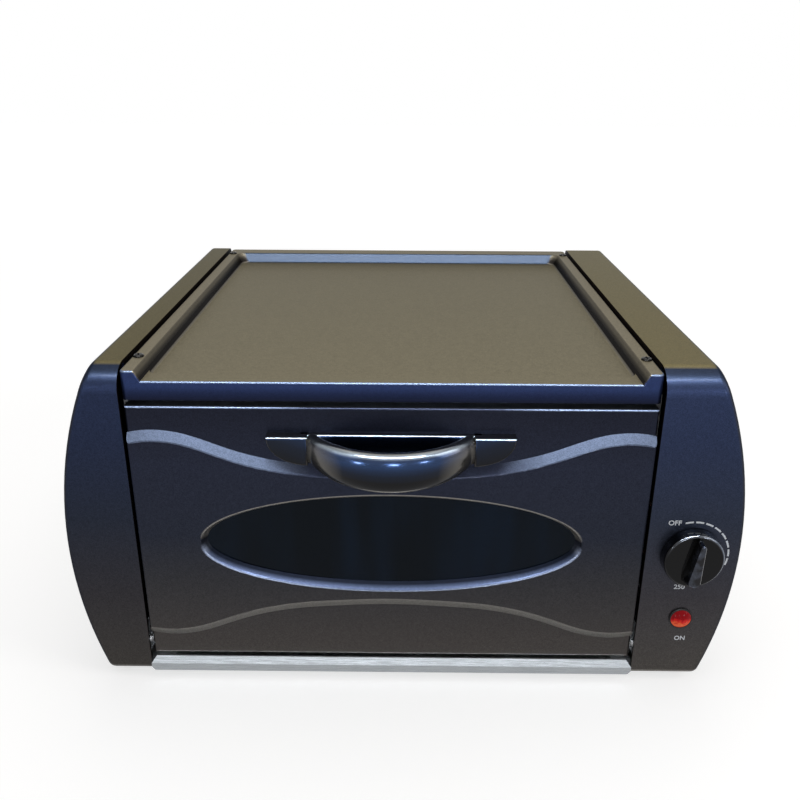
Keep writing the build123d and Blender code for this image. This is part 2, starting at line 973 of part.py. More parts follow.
def upper_element_clamps():
    """Omega straps that hold the element's runs under the griddle."""
    straps = []
    inner = element_radius + running_gap
    outer = inner + clamp_sheet
    foot = outer + clamp_foot
    seat = griddle_underside
    for y in (element_front, upper_element_y[1]):
        z = upper_element_z
        strap = outline(
            (y - foot, seat),
            (y + foot, seat),
            (y + foot, seat - clamp_sheet),
            (y - foot, seat - clamp_sheet),
        )
        strap += Pos(y, z) * Circle(outer)
        strap += outline((y - outer, z), (y + outer, z), (y + outer, seat), (y - outer, seat))
        strap -= Pos(y, z) * Circle(inner)
        above = seat + pierce
        strap -= outline((y - inner, z), (y + inner, z), (y + inner, above), (y - inner, above))
        for x in clamp_x:
            straps.append(along_x(strap, x - clamp_width / 2, x + clamp_width / 2))
    return joined(straps)


def lower_element_brackets():
    """Ledges on the left cavity wall, turned up at the end, that carry the element's run."""
    ledges = []
    wall = -cavity_half_width + panel_gap
    seat = lower_element_z - element_radius - running_gap
    end = element_left + element_radius + bracket_sheet + seat_gap
    profile = outline(
        (wall, seat - bracket_lip),
        (wall, seat),
        (end - bracket_sheet, seat),
        (end - bracket_sheet, seat + bracket_lip),
        (end, seat + bracket_lip),
        (end, seat - bracket_sheet),
        (wall + bracket_sheet, seat - bracket_sheet),
        (wall + bracket_sheet, seat - bracket_lip),
    )
    for y in bracket_y:
        ledges.append(along_y(profile, y - bracket_width / 2, y + bracket_width / 2))
    return joined(ledges)


# Door
def field_outline(grow):
    """Front view of the door's proud field between its two waves."""

    def wave(sign):
        half = [
            (share * door_half_width, field_middle + sign * (field_crest + drop + grow))
            for share, drop in field_wave
        ]
        return [(-x, z) for x, z in reversed(half[1:])] + half

    low = wave(-1)
    high = wave(1)
    return make_face(
        [Spline(*low), Line(low[-1], high[-1]), Spline(*reversed(high)), Line(high[0], low[0])]
    )


def door_field():
    """The proud field, leaning out from the flat skin along both waves."""
    foot = field_outline(field_slope / 2)
    crest = field_outline(-field_slope / 2)
    field = loft([front_view(foot, 0), front_view(crest, -field_proud)], ruled=True)
    front = field.faces().sort_by(Axis.Y)[0]
    field = fillet(front.edges(), field_edge)
    return field + along_y(foot, 0, door_edge)


def window_oval(grow):
    """The window's outline at the field's face, grown all round."""
    return Pos(0, window_middle) * Ellipse(window_half_width + grow, window_half_height + grow)


def window_funnel(grow, ahead=0.0):
    """The drawn oval from the field's face back to the glass."""
    lean = ahead * window_draft / window_draw
    mouth = front_view(window_oval(grow + lean), -field_proud - ahead)
    throat = front_view(window_oval(grow - window_draft), glass_front)
    return loft([mouth, throat], ruled=True)


def door_skin():
    """The pressed skin: waves, drawn window, side returns and a hem behind."""
    half = door_half_width
    outer = block((-half, half), (0, door_depth), (door_bottom, door_top))
    front = outer.faces().sort_by(Axis.Y)[0]
    outer = fillet(front.edges(), door_edge)
    field = door_field()
    outer += field
    inside = half - door_sheet
    low = door_bottom + door_sheet
    high = door_top - door_sheet
    hollow = block((-inside, inside), (door_sheet, door_depth - door_sheet), (low, high))
    hollow += Pos(0, door_sheet, 0) * field
    hollow &= block((-inside, inside), (-field_proud, door_depth - door_sheet), (low, high))
    mouth = inside - door_hem
    hollow += block((-mouth, mouth), (door_sheet, door_back), (low + door_hem, high - door_hem))
    skin = outer - hollow
    skin += window_funnel(door_sheet)
    skin -= window_funnel(0, pierce)
    rim = [edge for edge in skin.edges() if is_window_rim(edge)]
    skin = fillet(rim, window_edge)
    for x in (-handle_screw_x, handle_screw_x):
        skin -= hole((x, 0, handle_screw_z), (0, 1, 0), screw_radius + screw_gap, door_sheet)
    for side in (-1, 1):
        start = (side * inside, hinge_y, hinge_z)
        skin -= hole(start, (side, 0, 0), hinge_pin_radius + running_gap, door_sheet)
    for x, z in panel_screw_places():
        skin -= hole((x, door_depth - door_sheet, z), (0, 1, 0), screw_radius + running_gap, door_sheet)
    return skin


def is_window_rim(edge):
    """Whether an edge is the one where the field's face turns into the window."""
    box = edge.bounding_box()
    flat = box.size.Y < running_gap and abs(box.min.Y + field_proud) < running_gap
    return flat and abs(box.size.X - 2 * window_half_width) < door_sheet / 2


def panel_screw_places():
    return [(x, z) for x in (-panel_screw_x, panel_screw_x) for z in panel_screw_z]


def door_inner_panel():
    """The flat panel behind the hem, with a rim that holds the glass."""
    half = door_half_width - seat_gap
    low = door_bottom + seat_gap
    high = door_top - seat_gap
    panel = block((-half, half), (door_depth, door_back), (low, high))
    panel += along_y(window_oval(door_sheet), glass_back, door_back)
    panel -= along_y(window_oval(0), glass_back - pierce, door_back + pierce)
    for x, z in panel_screw_places():
        panel -= hole((x, door_depth, z), (0, 1, 0), screw_radius + screw_gap, door_sheet)
    for x, z in rivet_places():
        panel -= hole((x, door_depth, z), (0, 1, 0), rivet_radius + running_gap, door_sheet)
    return panel


def door_panel_screws():
    return joined(
        pan_screw((x, door_back, z), (0, -1, 0), screw_length) for x, z in panel_screw_places()
    )


def window_glass():
    pane = RectangleRounded(2 * glass_half_width, 2 * glass_half_height, glass_corner)
    return along_y(Pos(0, window_middle) * pane, glass_front, glass_back)


def handle_arch(half, reach):
    """Plan of half the grip's bow: an arc from the plate out to its reach and back."""
    return ThreePointArc((-half, -grip_root), (0, -reach), (half, -grip_root))


def handle_gap():
    """Plan of the space between the two wings, whose inner corners are rounded."""
    wing = handle_wing_inner
    root = -handle_plate_depth
    front = -handle_wing_depth - running_gap
    seat = front + handle_shoulder
    outer = wing + handle_shoulder
    turn = handle_shoulder * (1 - sin(radians(45)))
    return make_face(
        [
            Line((-outer, -grip_reach), (-outer, front)),
            ThreePointArc((-outer, front), (-wing - turn, front + turn), (-wing, seat)),
            Line((-wing, seat), (-wing, root)),
            Line((-wing, root), (wing, root)),
            Line((wing, root), (wing, seat)),
            ThreePointArc((wing, seat), (wing + turn, front + turn), (outer, front)),
            Line((outer, front), (outer, -grip_reach)),
            Line((outer, -grip_reach), (-outer, -grip_reach)),
        ]
    )


def door_handle():
    """A boat-shaped plate with two wings and a bowed crescent grip."""
    tip = handle_half_width
    wing = handle_wing_inner
    boat = outline(
        (-tip, handle_top),
        (-tip + handle_tip_rake, handle_tip_bottom),
        (-wing, handle_wing_bottom),
        (wing, handle_wing_bottom),
        (tip - handle_tip_rake, handle_tip_bottom),
        (tip, handle_top),
    )
    knees = boat.vertices().group_by(Axis.Y)[0]
    boat = fillet(knees, (tip - wing) / 2)
    ends = [corner for corner in boat.vertices() if corner.Y >= handle_tip_bottom - running_gap]
    boat = fillet(ends, handle_tip_corner)
    wings = along_y(boat, -handle_wing_depth, 0)
    wings = fillet(wings.faces().sort_by(Axis.Y)[0].edges(), handle_edge)
    middle = extrude(handle_gap(), amount=2 * handle_top)
    plate = wings - middle
    half = grip_half_width
    slim = half - grip_thickness
    plan = make_face(
        [
            handle_arch(half, grip_reach),
            Line((half, -grip_root), (slim, -grip_root)),
            handle_arch(slim, grip_reach - grip_thickness),
            Line((-slim, -grip_root), (-half, -grip_root)),
        ]
    )
    bow = extrude(Pos(0, 0, grip_bottom - pierce) * plan, amount=handle_top - grip_bottom + pierce)
    smile = make_face(
        [
            ThreePointArc((-half, grip_end_bottom), (0, grip_bottom), (half, grip_end_bottom)),
            Line((half, grip_end_bottom), (half, handle_top)),
            Line((half, handle_top), (-half, handle_top)),
            Line((-half, handle_top), (-half, grip_end_bottom)),
        ]
    )
    grip = bow & along_y(smile, -2 * grip_reach, 0)
    long_edges = [edge for edge in grip.edges() if edge.length > half]
    far = -grip_reach + grip_thickness / 2
    front = [edge for edge in long_edges if edge.bounding_box().min.Y < far]
    grip = fillet(front, grip_edge)
    long_edges = [edge for edge in grip.edges() if edge.length > half]
    back = [edge for edge in long_edges if edge.bounding_box().min.Y > far]
    grip = fillet(back, grip_back_edge)
    handle = plate + grip
    for x in (-handle_screw_x, handle_screw_x):
        handle -= rod((x, 0, handle_screw_z), (0, -1, 0), screw_radius + running_gap, handle_screw_hole)
    return handle


def handle_screws():
    return joined(
        pan_screw((x, door_sheet, handle_screw_z), (0, -1, 0), handle_screw_hole)
        for x in (-handle_screw_x, handle_screw_x)
    )


# Hinge, stays and springs
def hinge_plates():
    """Doubling plates inside the door's returns that the pins are riveted to."""
    outer = door_half_width - door_sheet
    low = door_bottom + door_sheet + panel_gap
    plate = block(
        (outer - hinge_plate, outer),
        (door_sheet + door_edge, door_depth - door_sheet - panel_gap),
        (low, low + hinge_plate_height),
    )
    start = (outer - hinge_plate, hinge_y, hinge_z)
    plate -= hole(start, (1, 0, 0), hinge_pin_radius + running_gap, hinge_plate)
    return both_sides(plate)


def hinge_pins():
    inside = door_half_width - door_sheet - hinge_plate
    pin = rod((inside, hinge_y, hinge_z), (-1, 0, 0), hinge_pin_head_radius, hinge_pin_head)
    pin += rod((inside, hinge_y, hinge_z), (1, 0, 0), hinge_pin_radius, hinge_reach - inside)
    return both_sides(pin)


def hinge_bushes():
    """Flanged bushes in the chassis ears; the door's pins turn in them."""
    start = ear_inner - bush_flange
    end = hinge_reach - panel_gap
    bush = rod((start, hinge_y, hinge_z), (1, 0, 0), bush_flange_radius, bush_flange)
    bush += rod((start, hinge_y, hinge_z), (1, 0, 0), bush_radius - running_gap, end - start)
    bush -= hole((start, hinge_y, hinge_z), (1, 0, 0), hinge_pin_radius + running_gap, end - start)
    return both_sides(bush)


def sector(inner, outer, low_angle, high_angle):
    """A ring sector about the hinge in side view, angles from the rear towards the top."""

    def point(radius, angle):
        return (
            hinge_y + radius * cos(radians(angle)),
            hinge_z + radius * sin(radians(angle)),
        )

    middle = (low_angle + high_angle) / 2
    return make_face(
        [
            ThreePointArc(point(inner, low_angle), point(inner, middle), point(inner, high_angle)),
            Line(point(inner, high_angle), point(outer, high_angle)),
            ThreePointArc(point(outer, high_angle), point(outer, middle), point(outer, low_angle)),
            Line(point(outer, low_angle), point(inner, low_angle)),
        ]
    )


def stay_head_start():
    """Angle of the stay's head where the door stops against the frame."""
    reach = stay_radius - stay_head_width / 2
    clear = frame_y + sheet + stay_stop_gap - hinge_y
    return degrees(acos(clear / reach)) - door_open_angle


def right_stay():
    """A quadrant about the hinge with a foot on the inner panel and a head that is its stop."""
    head_high = stay_head_start()
    arm = sector(stay_radius - stay_width / 2, stay_radius + stay_width / 2, head_high, stay_arm_end)
    head = sector(
        stay_radius - stay_head_width / 2,
        stay_radius + stay_head_width / 2,
        head_high - stay_head_angle,
        head_high,
    )
    profile = arm + head
    stay = along_x(profile, stay_inner, stay_outer)
    stay &= block((0, 2 * stay_outer), (door_back, 2 * stay_radius), (-stay_radius, 3 * stay_radius))
    middle = stay_foot_middle()
    stay += block(
        (stay_outer - stay_foot, stay_outer),
        (door_back, door_back + stay_thickness),
        (middle - stay_foot_height / 2, middle + stay_foot_height / 2),
    )
    y, z = spring_hook()
    stay -= hole((stay_inner, y, z), (1, 0, 0), spring_eye, stay_thickness)
    for x, z in rivet_places():
        if x > 0:
            stay -= hole((x, door_back, z), (0, 1, 0), rivet_radius + running_gap, stay_thickness)
    return stay


def stay_foot_middle():
    return hinge_z + sqrt(stay_radius**2 - (door_back - hinge_y) ** 2)


def rivet_places():
    x = stay_outer - stay_foot + rivet_head_radius
    step = stay_foot_height / 4
    middle = stay_foot_middle()
    return [(side * x, middle + shift) for side in (-1, 1) for shift in (-step, step)]


def right_door_stay():
    return right_stay()


def left_door_stay():
    return mirror(right_stay(), about=Plane.YZ)


def stay_rivets():
    rivets = []
    for x, z in rivet_places():
        shank = door_sheet + stay_thickness
        rivet = rod((x, door_depth, z), (0, 1, 0), rivet_radius, shank)
        rivet += rod((x, door_depth, z), (0, -1, 0), rivet_head_radius, rivet_head)
        rivet += rod((x, door_depth + shank, z), (0, 1, 0), rivet_head_radius, rivet_head)
        rivets.append(rivet)
    return joined(rivets)


def spring_hook():
    """Where the spring hooks into the stay's head, in side view."""
    angle = radians(stay_head_start() - stay_head_angle / 2)
    return (hinge_y + stay_radius * cos(angle), hinge_z + stay_radius * sin(angle))


def door_springs():
    """Extension springs: a closed coil with a hook at each end."""
    y, z = spring_hook()
    start = Vector(spring_x, y, z)
    end = Vector(spring_x, spring_tab_y + 2 * sheet, spring_tab_z)
    run = (end - start).normalized()
    length = (end - start).length
    hook = length * spring_hook_share
    coil = length - 2 * hook
    wire = 2 * spring_wire
    spring = rod(start + run * hook, run, spring_radius, coil)
    spring -= rod(start + run * (hook + wire), run, spring_radius - wire, coil - 2 * wire)
    spring += rod(start, run, spring_wire, hook + wire)
    spring += rod(end, run * -1, spring_wire, hook + wire)
    across = spring_x - stay_inner + wire
    spring += rod((spring_x + spring_wire, y, z), (-1, 0, 0), spring_wire, across)
    spring += rod((spring_x - spring_radius, end.Y, end.Z), (1, 0, 0), spring_wire, 2 * spring_radius)
    return both_sides(spring)


# Crumb tray
def crumb_tray():
    """A shallow sheet pan that slides under the door."""
    half = tray_half_width
    low = base_sheet + seat_gap
    pan = block((-half, half), (lip_back, tray_back), (low, tray_wall_top))
    pan -= block(
        (-half + sheet, half - sheet),
        (lip_back + sheet, tray_back - sheet),
        (low + sheet, 2 * tray_wall_top),
    )
    return pan


def crumb_tray_lip():
    """The bright strip: an upper bevel over an upright face, its ends pointed at the crease."""
    profile = outline(
        (lip_back, lip_bottom),
        (lip_front + griddle_edge, lip_bottom),
        (lip_front, lip_bottom + griddle_edge),
        (lip_front, lip_crease),
        (lip_top_edge, lip_top),
        (lip_back, lip_top),
    )
    strip = along_x(profile, -lip_half_width, lip_half_width)
    half = lip_half_width
    cut = lip_end_chamfer
    front = outline(
        (-half + cut, lip_bottom),
        (half - cut, lip_bottom),
        (half, lip_crease - lip_end_chamfer),
        (half, lip_crease),
        (half - cut, lip_top),
        (-half + cut, lip_top),
        (-half, lip_crease),
        (-half, lip_crease - lip_end_chamfer),
    )
    return strip & along_y(front, lip_front - pierce, lip_back + pierce)


# Knob, thermostat and lamp
def ridge_outline(tip_radius, heel_radius):
    """The knob's ridge seen from the front: a drop, narrow at the pointer and broad at the heel."""
    narrow = Pos(knob_ridge_tip, 0) * Circle(tip_radius)
    broad = Pos(-knob_ridge_heel, 0) * Circle(heel_radius)
    return make_hull(narrow.edges() + broad.edges())


def knob_ridge():
    """The ridge across the knob, sloping in from its foot to a rounded crest."""
    sections = [Pos(0, 0, knob_edge / 2) * ridge_outline(knob_ridge_tip_foot, knob_ridge_heel_foot)]
    for turn in knob_crest_turns:
        inset = knob_crest_radius * (1 - cos(radians(turn)))
        height = knob_height - knob_crest_radius * (1 - sin(radians(turn)))
        crest = ridge_outline(knob_ridge_tip_radius - inset, knob_ridge_heel_radius - inset)
        sections.append(Pos(0, 0, height) * crest)
    return loft(sections, ruled=True)


def control_knob():
    """A round knob with a tapered ridge across it, pointing where it is turned to."""
    disc = loft([Circle(knob_radius), Pos(0, 0, knob_disc) * Circle(knob_top_radius)])
    disc = fillet(disc.edges().sort_by(Axis.Z)[-1], knob_edge)
    ridge = knob_ridge() & Cylinder(knob_top_radius, 3 * knob_height)
    knob = disc + ridge
    bore = rod((0, 0, 0), (0, 0, 1), shaft_radius + running_gap / 2, knob_bore_depth)
    bore -= shaft_flat_cut(0)
    return on_knob_axis(knob - bore)


def shaft_flat_cut(gap):
    """What the D-shaped shaft lacks beyond its flat."""
    wide = 2 * shaft_radius
    return block((shaft_flat - gap, wide), (-wide, wide), (-knob_gap, knob_height))


def on_knob_axis(piece):
    """A piece made upright, laid along the knob's axis and turned to where the knob points."""
    seat = Plane(origin=(knob_x, knob_back_y, knob_z), x_dir=(1, 0, 0), z_dir=(0, -1, 0))
    return seat * Rot(0, 0, 90 - knob_pointer_angle) * piece


def thermostat_shaft():
    """A D-shaped shaft from the thermostat into the knob."""
    inside = shaft_depth_inside + cover_wall
    length = inside + knob_gap + knob_bore_depth - panel_gap
    shaft = rod((0, 0, -inside - knob_gap), (0, 0, 1), shaft_radius, length)
    return on_knob_axis(shaft - shaft_flat_cut(running_gap))


def thermostat_screw_places():
    half = thermostat_screw_spacing / 2
    return (knob_x - half, knob_x + half)


def thermostat_screw_head(x, grow):
    """The cone of a countersunk head, flush with the cover's face."""
    depth = thermostat_screw_head_radius - thermostat_screw_radius
    return loft(
        [
            front_view(Pos(x, knob_z) * Circle(thermostat_screw_head_radius + grow), cover_front),
            front_view(Pos(x, knob_z) * Circle(thermostat_screw_radius + grow), cover_front + depth),
        ]
    )


def thermostat_body():
    """The switch behind the cover's face, with its neck and two blade terminals."""
    half = thermostat_size / 2
    front = cover_front + cover_wall
    back = front + thermostat_depth
    case = block((knob_x - half, knob_x + half), (front, back), (knob_z - half, knob_z + half))
    case = fillet(case.edges().filter_by(Axis.Y), thermostat_corner)
    case += rod((knob_x, front, knob_z), (0, -1, 0), neck_radius, cover_wall)
    bore = cover_wall + shaft_depth_inside + seat_gap
    case -= rod((knob_x, cover_front, knob_z), (0, 1, 0), shaft_radius + running_gap, bore)
    for shift in (-half / 2, half / 2):
        case += block(
            (knob_x + shift - blade_width / 2, knob_x + shift + blade_width / 2),
            (back, back + blade_length),
            (knob_z, knob_z + blade_thickness),
        )
    for x in thermostat_screw_places():
        case -= rod((x, front, knob_z), (0, 1, 0), thermostat_screw_radius + running_gap, screw_length)
    return case


def thermostat_screws():
    screws = []
    for x in thermostat_screw_places():
        head = thermostat_screw_head(x, 0)
        shank = rod((x, cover_front, knob_z), (0, 1, 0), thermostat_screw_radius, screw_length)
        screws.append(head + shank)
    return joined(screws)


def lamp_lens():
    """The domed red lens, seated in the bezel."""
    wide = lamp_lens_radius
    rise = lamp_lens_proud
    ball = (wide**2 + rise**2) / (2 * rise)
    shoulder = ball - rise - sqrt(ball**2 - wide**2 / 4)
    profile = make_face(
        [
            ThreePointArc((0, -rise), (wide / 2, shoulder), (wide, 0)),
            Line((wide, 0), (wide, lamp_lens_seat)),
            Line((wide, lamp_lens_seat), (0, lamp_lens_seat)),
            Line((0, lamp_lens_seat), (0, -rise)),
        ]
    )
    return Pos(lamp_x, cover_front - lamp_bezel, lamp_z) * revolve(profile, Axis.Y)


def lamp_bezel_ring():
    """The black bezel and its barrel through the cover, with two blade terminals behind."""
    flange = rod((lamp_x, cover_front, lamp_z), (0, -1, 0), lamp_bezel_radius, lamp_bezel)
    rim = flange.faces().sort_by(Axis.Y)[0]
    flange = fillet(rim.edges(), lamp_bezel / 3)
    barrel = rod((lamp_x, cover_front, lamp_z), (0, 1, 0), lamp_barrel_radius, lamp_barrel)
    seat = cover_front - lamp_bezel + lamp_lens_seat
    recess = rod((lamp_x, seat, lamp_z), (0, -1, 0), lamp_lens_radius + running_gap, 2 * lamp_bezel)
    body = flange + barrel - recess
    for shift in (-lamp_barrel_radius / 2, lamp_barrel_radius / 2):
        body += block(
            (lamp_x + shift - lamp_blade / 2, lamp_x + shift + lamp_blade / 2),
            (cover_front + lamp_barrel, cover_front + lamp_barrel + blade_length),
            (lamp_z, lamp_z + blade_thickness),
        )
    return body


def lamp_nut_ring():
    """The nut that holds the lamp from inside the cover."""
    front = cover_front + cover_wall
    nut = rod((lamp_x, front, lamp_z), (0, 1, 0), lamp_nut_radius, lamp_nut)
    return nut - hole((lamp_x, front, lamp_z), (0, 1, 0), lamp_barrel_radius + running_gap, lamp_nut)


# Mains entry and wires
def cord_gland():
    """A snap-in bush in the right cover's back for the mains lead."""
    inner = cover_back - cover_wall
    gland = rod((gland_x, cover_back, gland_z), (0, 1, 0), gland_flange_radius, gland_flange)
    gland = fillet(gland.faces().sort_by(Axis.Y)[-1].edges(), gland_flange / 3)
    gland += rod((gland_x, cover_back, gland_z), (0, -1, 0), gland_radius, cover_wall)
    gland += rod((gland_x, inner, gland_z), (0, -1, 0), gland_barb_radius, gland_inside)
    length = gland_flange + cover_wall + gland_inside
    return gland - hole((gland_x, gland_back_y, gland_z), (0, -1, 0), gland_bore_radius, length)


def terminal_block():
    """A three-way terminal strip on the base plate under the right cover."""
    top = base_sheet + block_height
    strip = block(block_x, block_y, (base_sheet, top))
    for y in block_rows():
        for x in (block_x[0] + block_hole_inset, block_x[1] - block_hole_inset):
            strip -= rod((x, y, top), (0, 0, -1), block_hole_radius, block_hole_depth)
    return strip


def block_rows():
    """Where the terminal block's three rows lie."""
    pitch = (block_y[1] - block_y[0]) / 3
    return [block_y[0] + (index + 0.5) * pitch for index in range(3)]


def wire(*points):
    """One insulated wire along straight runs and round bends."""
    path = FilletPolyline(*points, radius=wire_bend)
    start = Vector(*points[0])
    run = Vector(*points[1]) - start
    return sweep(Plane(origin=start, z_dir=run) * Circle(wire_radius), path=path)


def internal_wiring():
    """Wires between the terminal block, the thermostat, the lamp and an element's pin."""
    near, middle, _ = block_rows()
    top = base_sheet + block_height + panel_gap
    inner = block_x[0] + block_hole_inset
    outer = block_x[1] - block_hole_inset
    blade = blade_thickness / 2
    knob_side = knob_x - thermostat_size / 4
    knob_end = cover_front + cover_wall + thermostat_depth + blade_length + panel_gap
    knob_level = knob_z + blade
    lamp_side = lamp_x - lamp_barrel_radius / 2
    lamp_end = cover_front + lamp_barrel + blade_length + panel_gap
    lamp_level = lamp_z + blade
    pin_x = element_end + element_pin + panel_gap
    pin_y = upper_element_y[1]
    pin_z = upper_element_exit
    to_thermostat = wire(
        (inner, near, top),
        (inner, near, wire_knob_rise),
        (knob_side, near - wire_knob_run, knob_level),
        (knob_side, knob_end, knob_level),
    )
    to_element = wire(
        (inner, middle, top),
        (inner, middle, wire_element_rise),
        (pin_x + wire_element_side, pin_y, pin_z),
        (pin_x, pin_y, pin_z),
    )
    to_lamp = wire(
        (outer, near, top),
        (outer, near, lamp_level),
        (lamp_side, wire_lamp_y, lamp_level),
        (lamp_side, lamp_end, lamp_level),
    )
    return joined([to_thermostat, to_element, to_lamp])


# Writing out
pieces = {
    "base_plate": base_plate,
    "left_side_cover": left_side_cover,
    "right_side_cover": right_side_cover,
    "back_panel": back_panel,
    "left_cavity_wall": left_cavity_wall,
    "right_cavity_wall": right_cavity_wall,
    "cavity_back_wall": cavity_back_wall,
    "front_top_rail": front_top_rail,
    "front_bottom_rail": front_bottom_rail,
    "griddle_plate": griddle_plate,
    "griddle_screws": griddle_screws,
    "upper_heating_element": upper_heating_element,
    "upper_element_clamps": upper_element_clamps,
    "lower_heating_element": lower_heating_element,
    "lower_element_brackets": lower_element_brackets,
    "element_insulators": element_insulators,
    "left_rack_runner": left_rack_runner,
    "right_rack_runner": right_rack_runner,
    "wire_rack": wire_rack,
    "hinge_bushes": hinge_bushes,
    "thermostat_body": thermostat_body,
    "thermostat_screws": thermostat_screws,
    "indicator_lens": lamp_lens,
    "lamp_bezel": lamp_bezel_ring,
    "lamp_nut": lamp_nut_ring,
    "terminal_block": terminal_block,
    "internal_wiring": internal_wiring,
    "cord_gland": cord_gland,
    "rubber_feet": rubber_feet,
    "foot_screws": foot_screws,
    "base_screws": base_screws,
    "back_panel_screws": back_panel_screws,
    "door_springs": door_springs,
    "door_skin": door_skin,
    "door_inner_panel": door_inner_panel,
    "door_panel_screws": door_panel_screws,
    "window_glass": window_glass,
    "door_handle": door_handle,
    "handle_screws": handle_screws,
    "hinge_plates": hinge_plates,
    "hinge_pins": hinge_pins,
    "left_door_stay": left_door_stay,
    "right_door_stay": right_door_stay,
    "stay_rivets": stay_rivets,
    "control_knob": control_knob,
    "thermostat_shaft": thermostat_shaft,
    "crumb_tray": crumb_tray,
    "crumb_tray_lip": crumb_tray_lip,
}

os.makedirs("parts", exist_ok=True)
to_table = Location((-origin_x, -origin_y, foot_height))
for name, make in pieces.items():
    export_step(make().moved(to_table), f"parts/{name}.step")
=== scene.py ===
"""Looks of a countertop oven with a griddle top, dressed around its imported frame."""

import itertools
import logging
import math
from dataclasses import dataclass
from enum import Enum
from typing import Sequence

import bmesh
import bpy
from mathutils import Matrix, Vector


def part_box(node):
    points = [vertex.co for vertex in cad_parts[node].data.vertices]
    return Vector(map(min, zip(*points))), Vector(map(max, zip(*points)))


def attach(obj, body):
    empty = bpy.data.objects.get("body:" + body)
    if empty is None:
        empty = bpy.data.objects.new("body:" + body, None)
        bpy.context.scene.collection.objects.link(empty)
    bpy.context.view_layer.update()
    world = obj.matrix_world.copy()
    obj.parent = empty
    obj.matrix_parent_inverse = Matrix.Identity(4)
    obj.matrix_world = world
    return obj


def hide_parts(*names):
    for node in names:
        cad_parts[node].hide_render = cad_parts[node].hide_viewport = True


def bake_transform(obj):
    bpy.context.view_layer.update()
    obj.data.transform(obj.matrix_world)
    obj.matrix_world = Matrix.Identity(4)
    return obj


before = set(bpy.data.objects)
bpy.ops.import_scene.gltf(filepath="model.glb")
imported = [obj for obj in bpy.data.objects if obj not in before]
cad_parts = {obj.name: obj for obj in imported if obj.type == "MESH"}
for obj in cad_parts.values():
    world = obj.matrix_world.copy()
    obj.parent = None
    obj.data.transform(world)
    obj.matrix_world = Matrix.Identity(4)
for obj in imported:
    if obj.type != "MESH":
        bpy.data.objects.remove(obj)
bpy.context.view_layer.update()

MM = 0.001
# The frame's origin, in millimetres from the door's middle, its flat skin and the base plate
ORIGIN = (8.75, 179.25, -6.0)

Triple = tuple[float, float, float]
Colour = Triple
Band = tuple[float, float]
Stops = tuple[tuple[float, Colour], ...]
Socket = bpy.types.NodeSocket
Value = float | Colour | Socket

# The stretch of a noise's values that a look uses: most of them, or the middle ones
WIDE: Band = (0.2, 0.8)
MIDDLE: Band = (0.3, 0.7)
# Where the Mix node keeps its two colours and their result
MIX_FIRST, MIX_SECOND, MIX_RESULT = 6, 7, 2
# The tint of the lamps in front
COOL: Colour = (0.9, 0.95, 1.0)

log = logging.getLogger("oven")


def place(x: float, y: float, z: float) -> Vector:
    """Turns millimetres from the door's middle, its skin and the base plate into the frame's metres.

    Args:
        x: Distance to the right of the door's middle.
        y: Distance behind the door's flat skin.
        z: Height above the base plate's underside.

    Returns:
        The point in the frame.
    """
    return Vector(((x - ORIGIN[0]) * MM, (y - ORIGIN[1]) * MM, (z - ORIGIN[2]) * MM))


class Body(Enum):
    """The bodies that new pieces ride on."""

    HOUSING = "housing"
    DOOR = "door"


class Outward(Enum):
    """The ways that screw heads stand out."""

    UP = (0.0, 0.0, 1.0)
    DOWN = (0.0, 0.0, -1.0)
    BACK = (0.0, 1.0, 0.0)


class Axis(Enum):
    """The axes of the frame."""

    X = "X"
    Y = "Y"
    Z = "Z"


class Sum(Enum):
    """The sums that a look needs."""

    ABSOLUTE = "ABSOLUTE"
    ADD = "ADD"
    MULTIPLY = "MULTIPLY"


class Mode(Enum):
    """The ways that two colours mix."""

    MIX = "MIX"
    MULTIPLY = "MULTIPLY"
    OVERLAY = "OVERLAY"


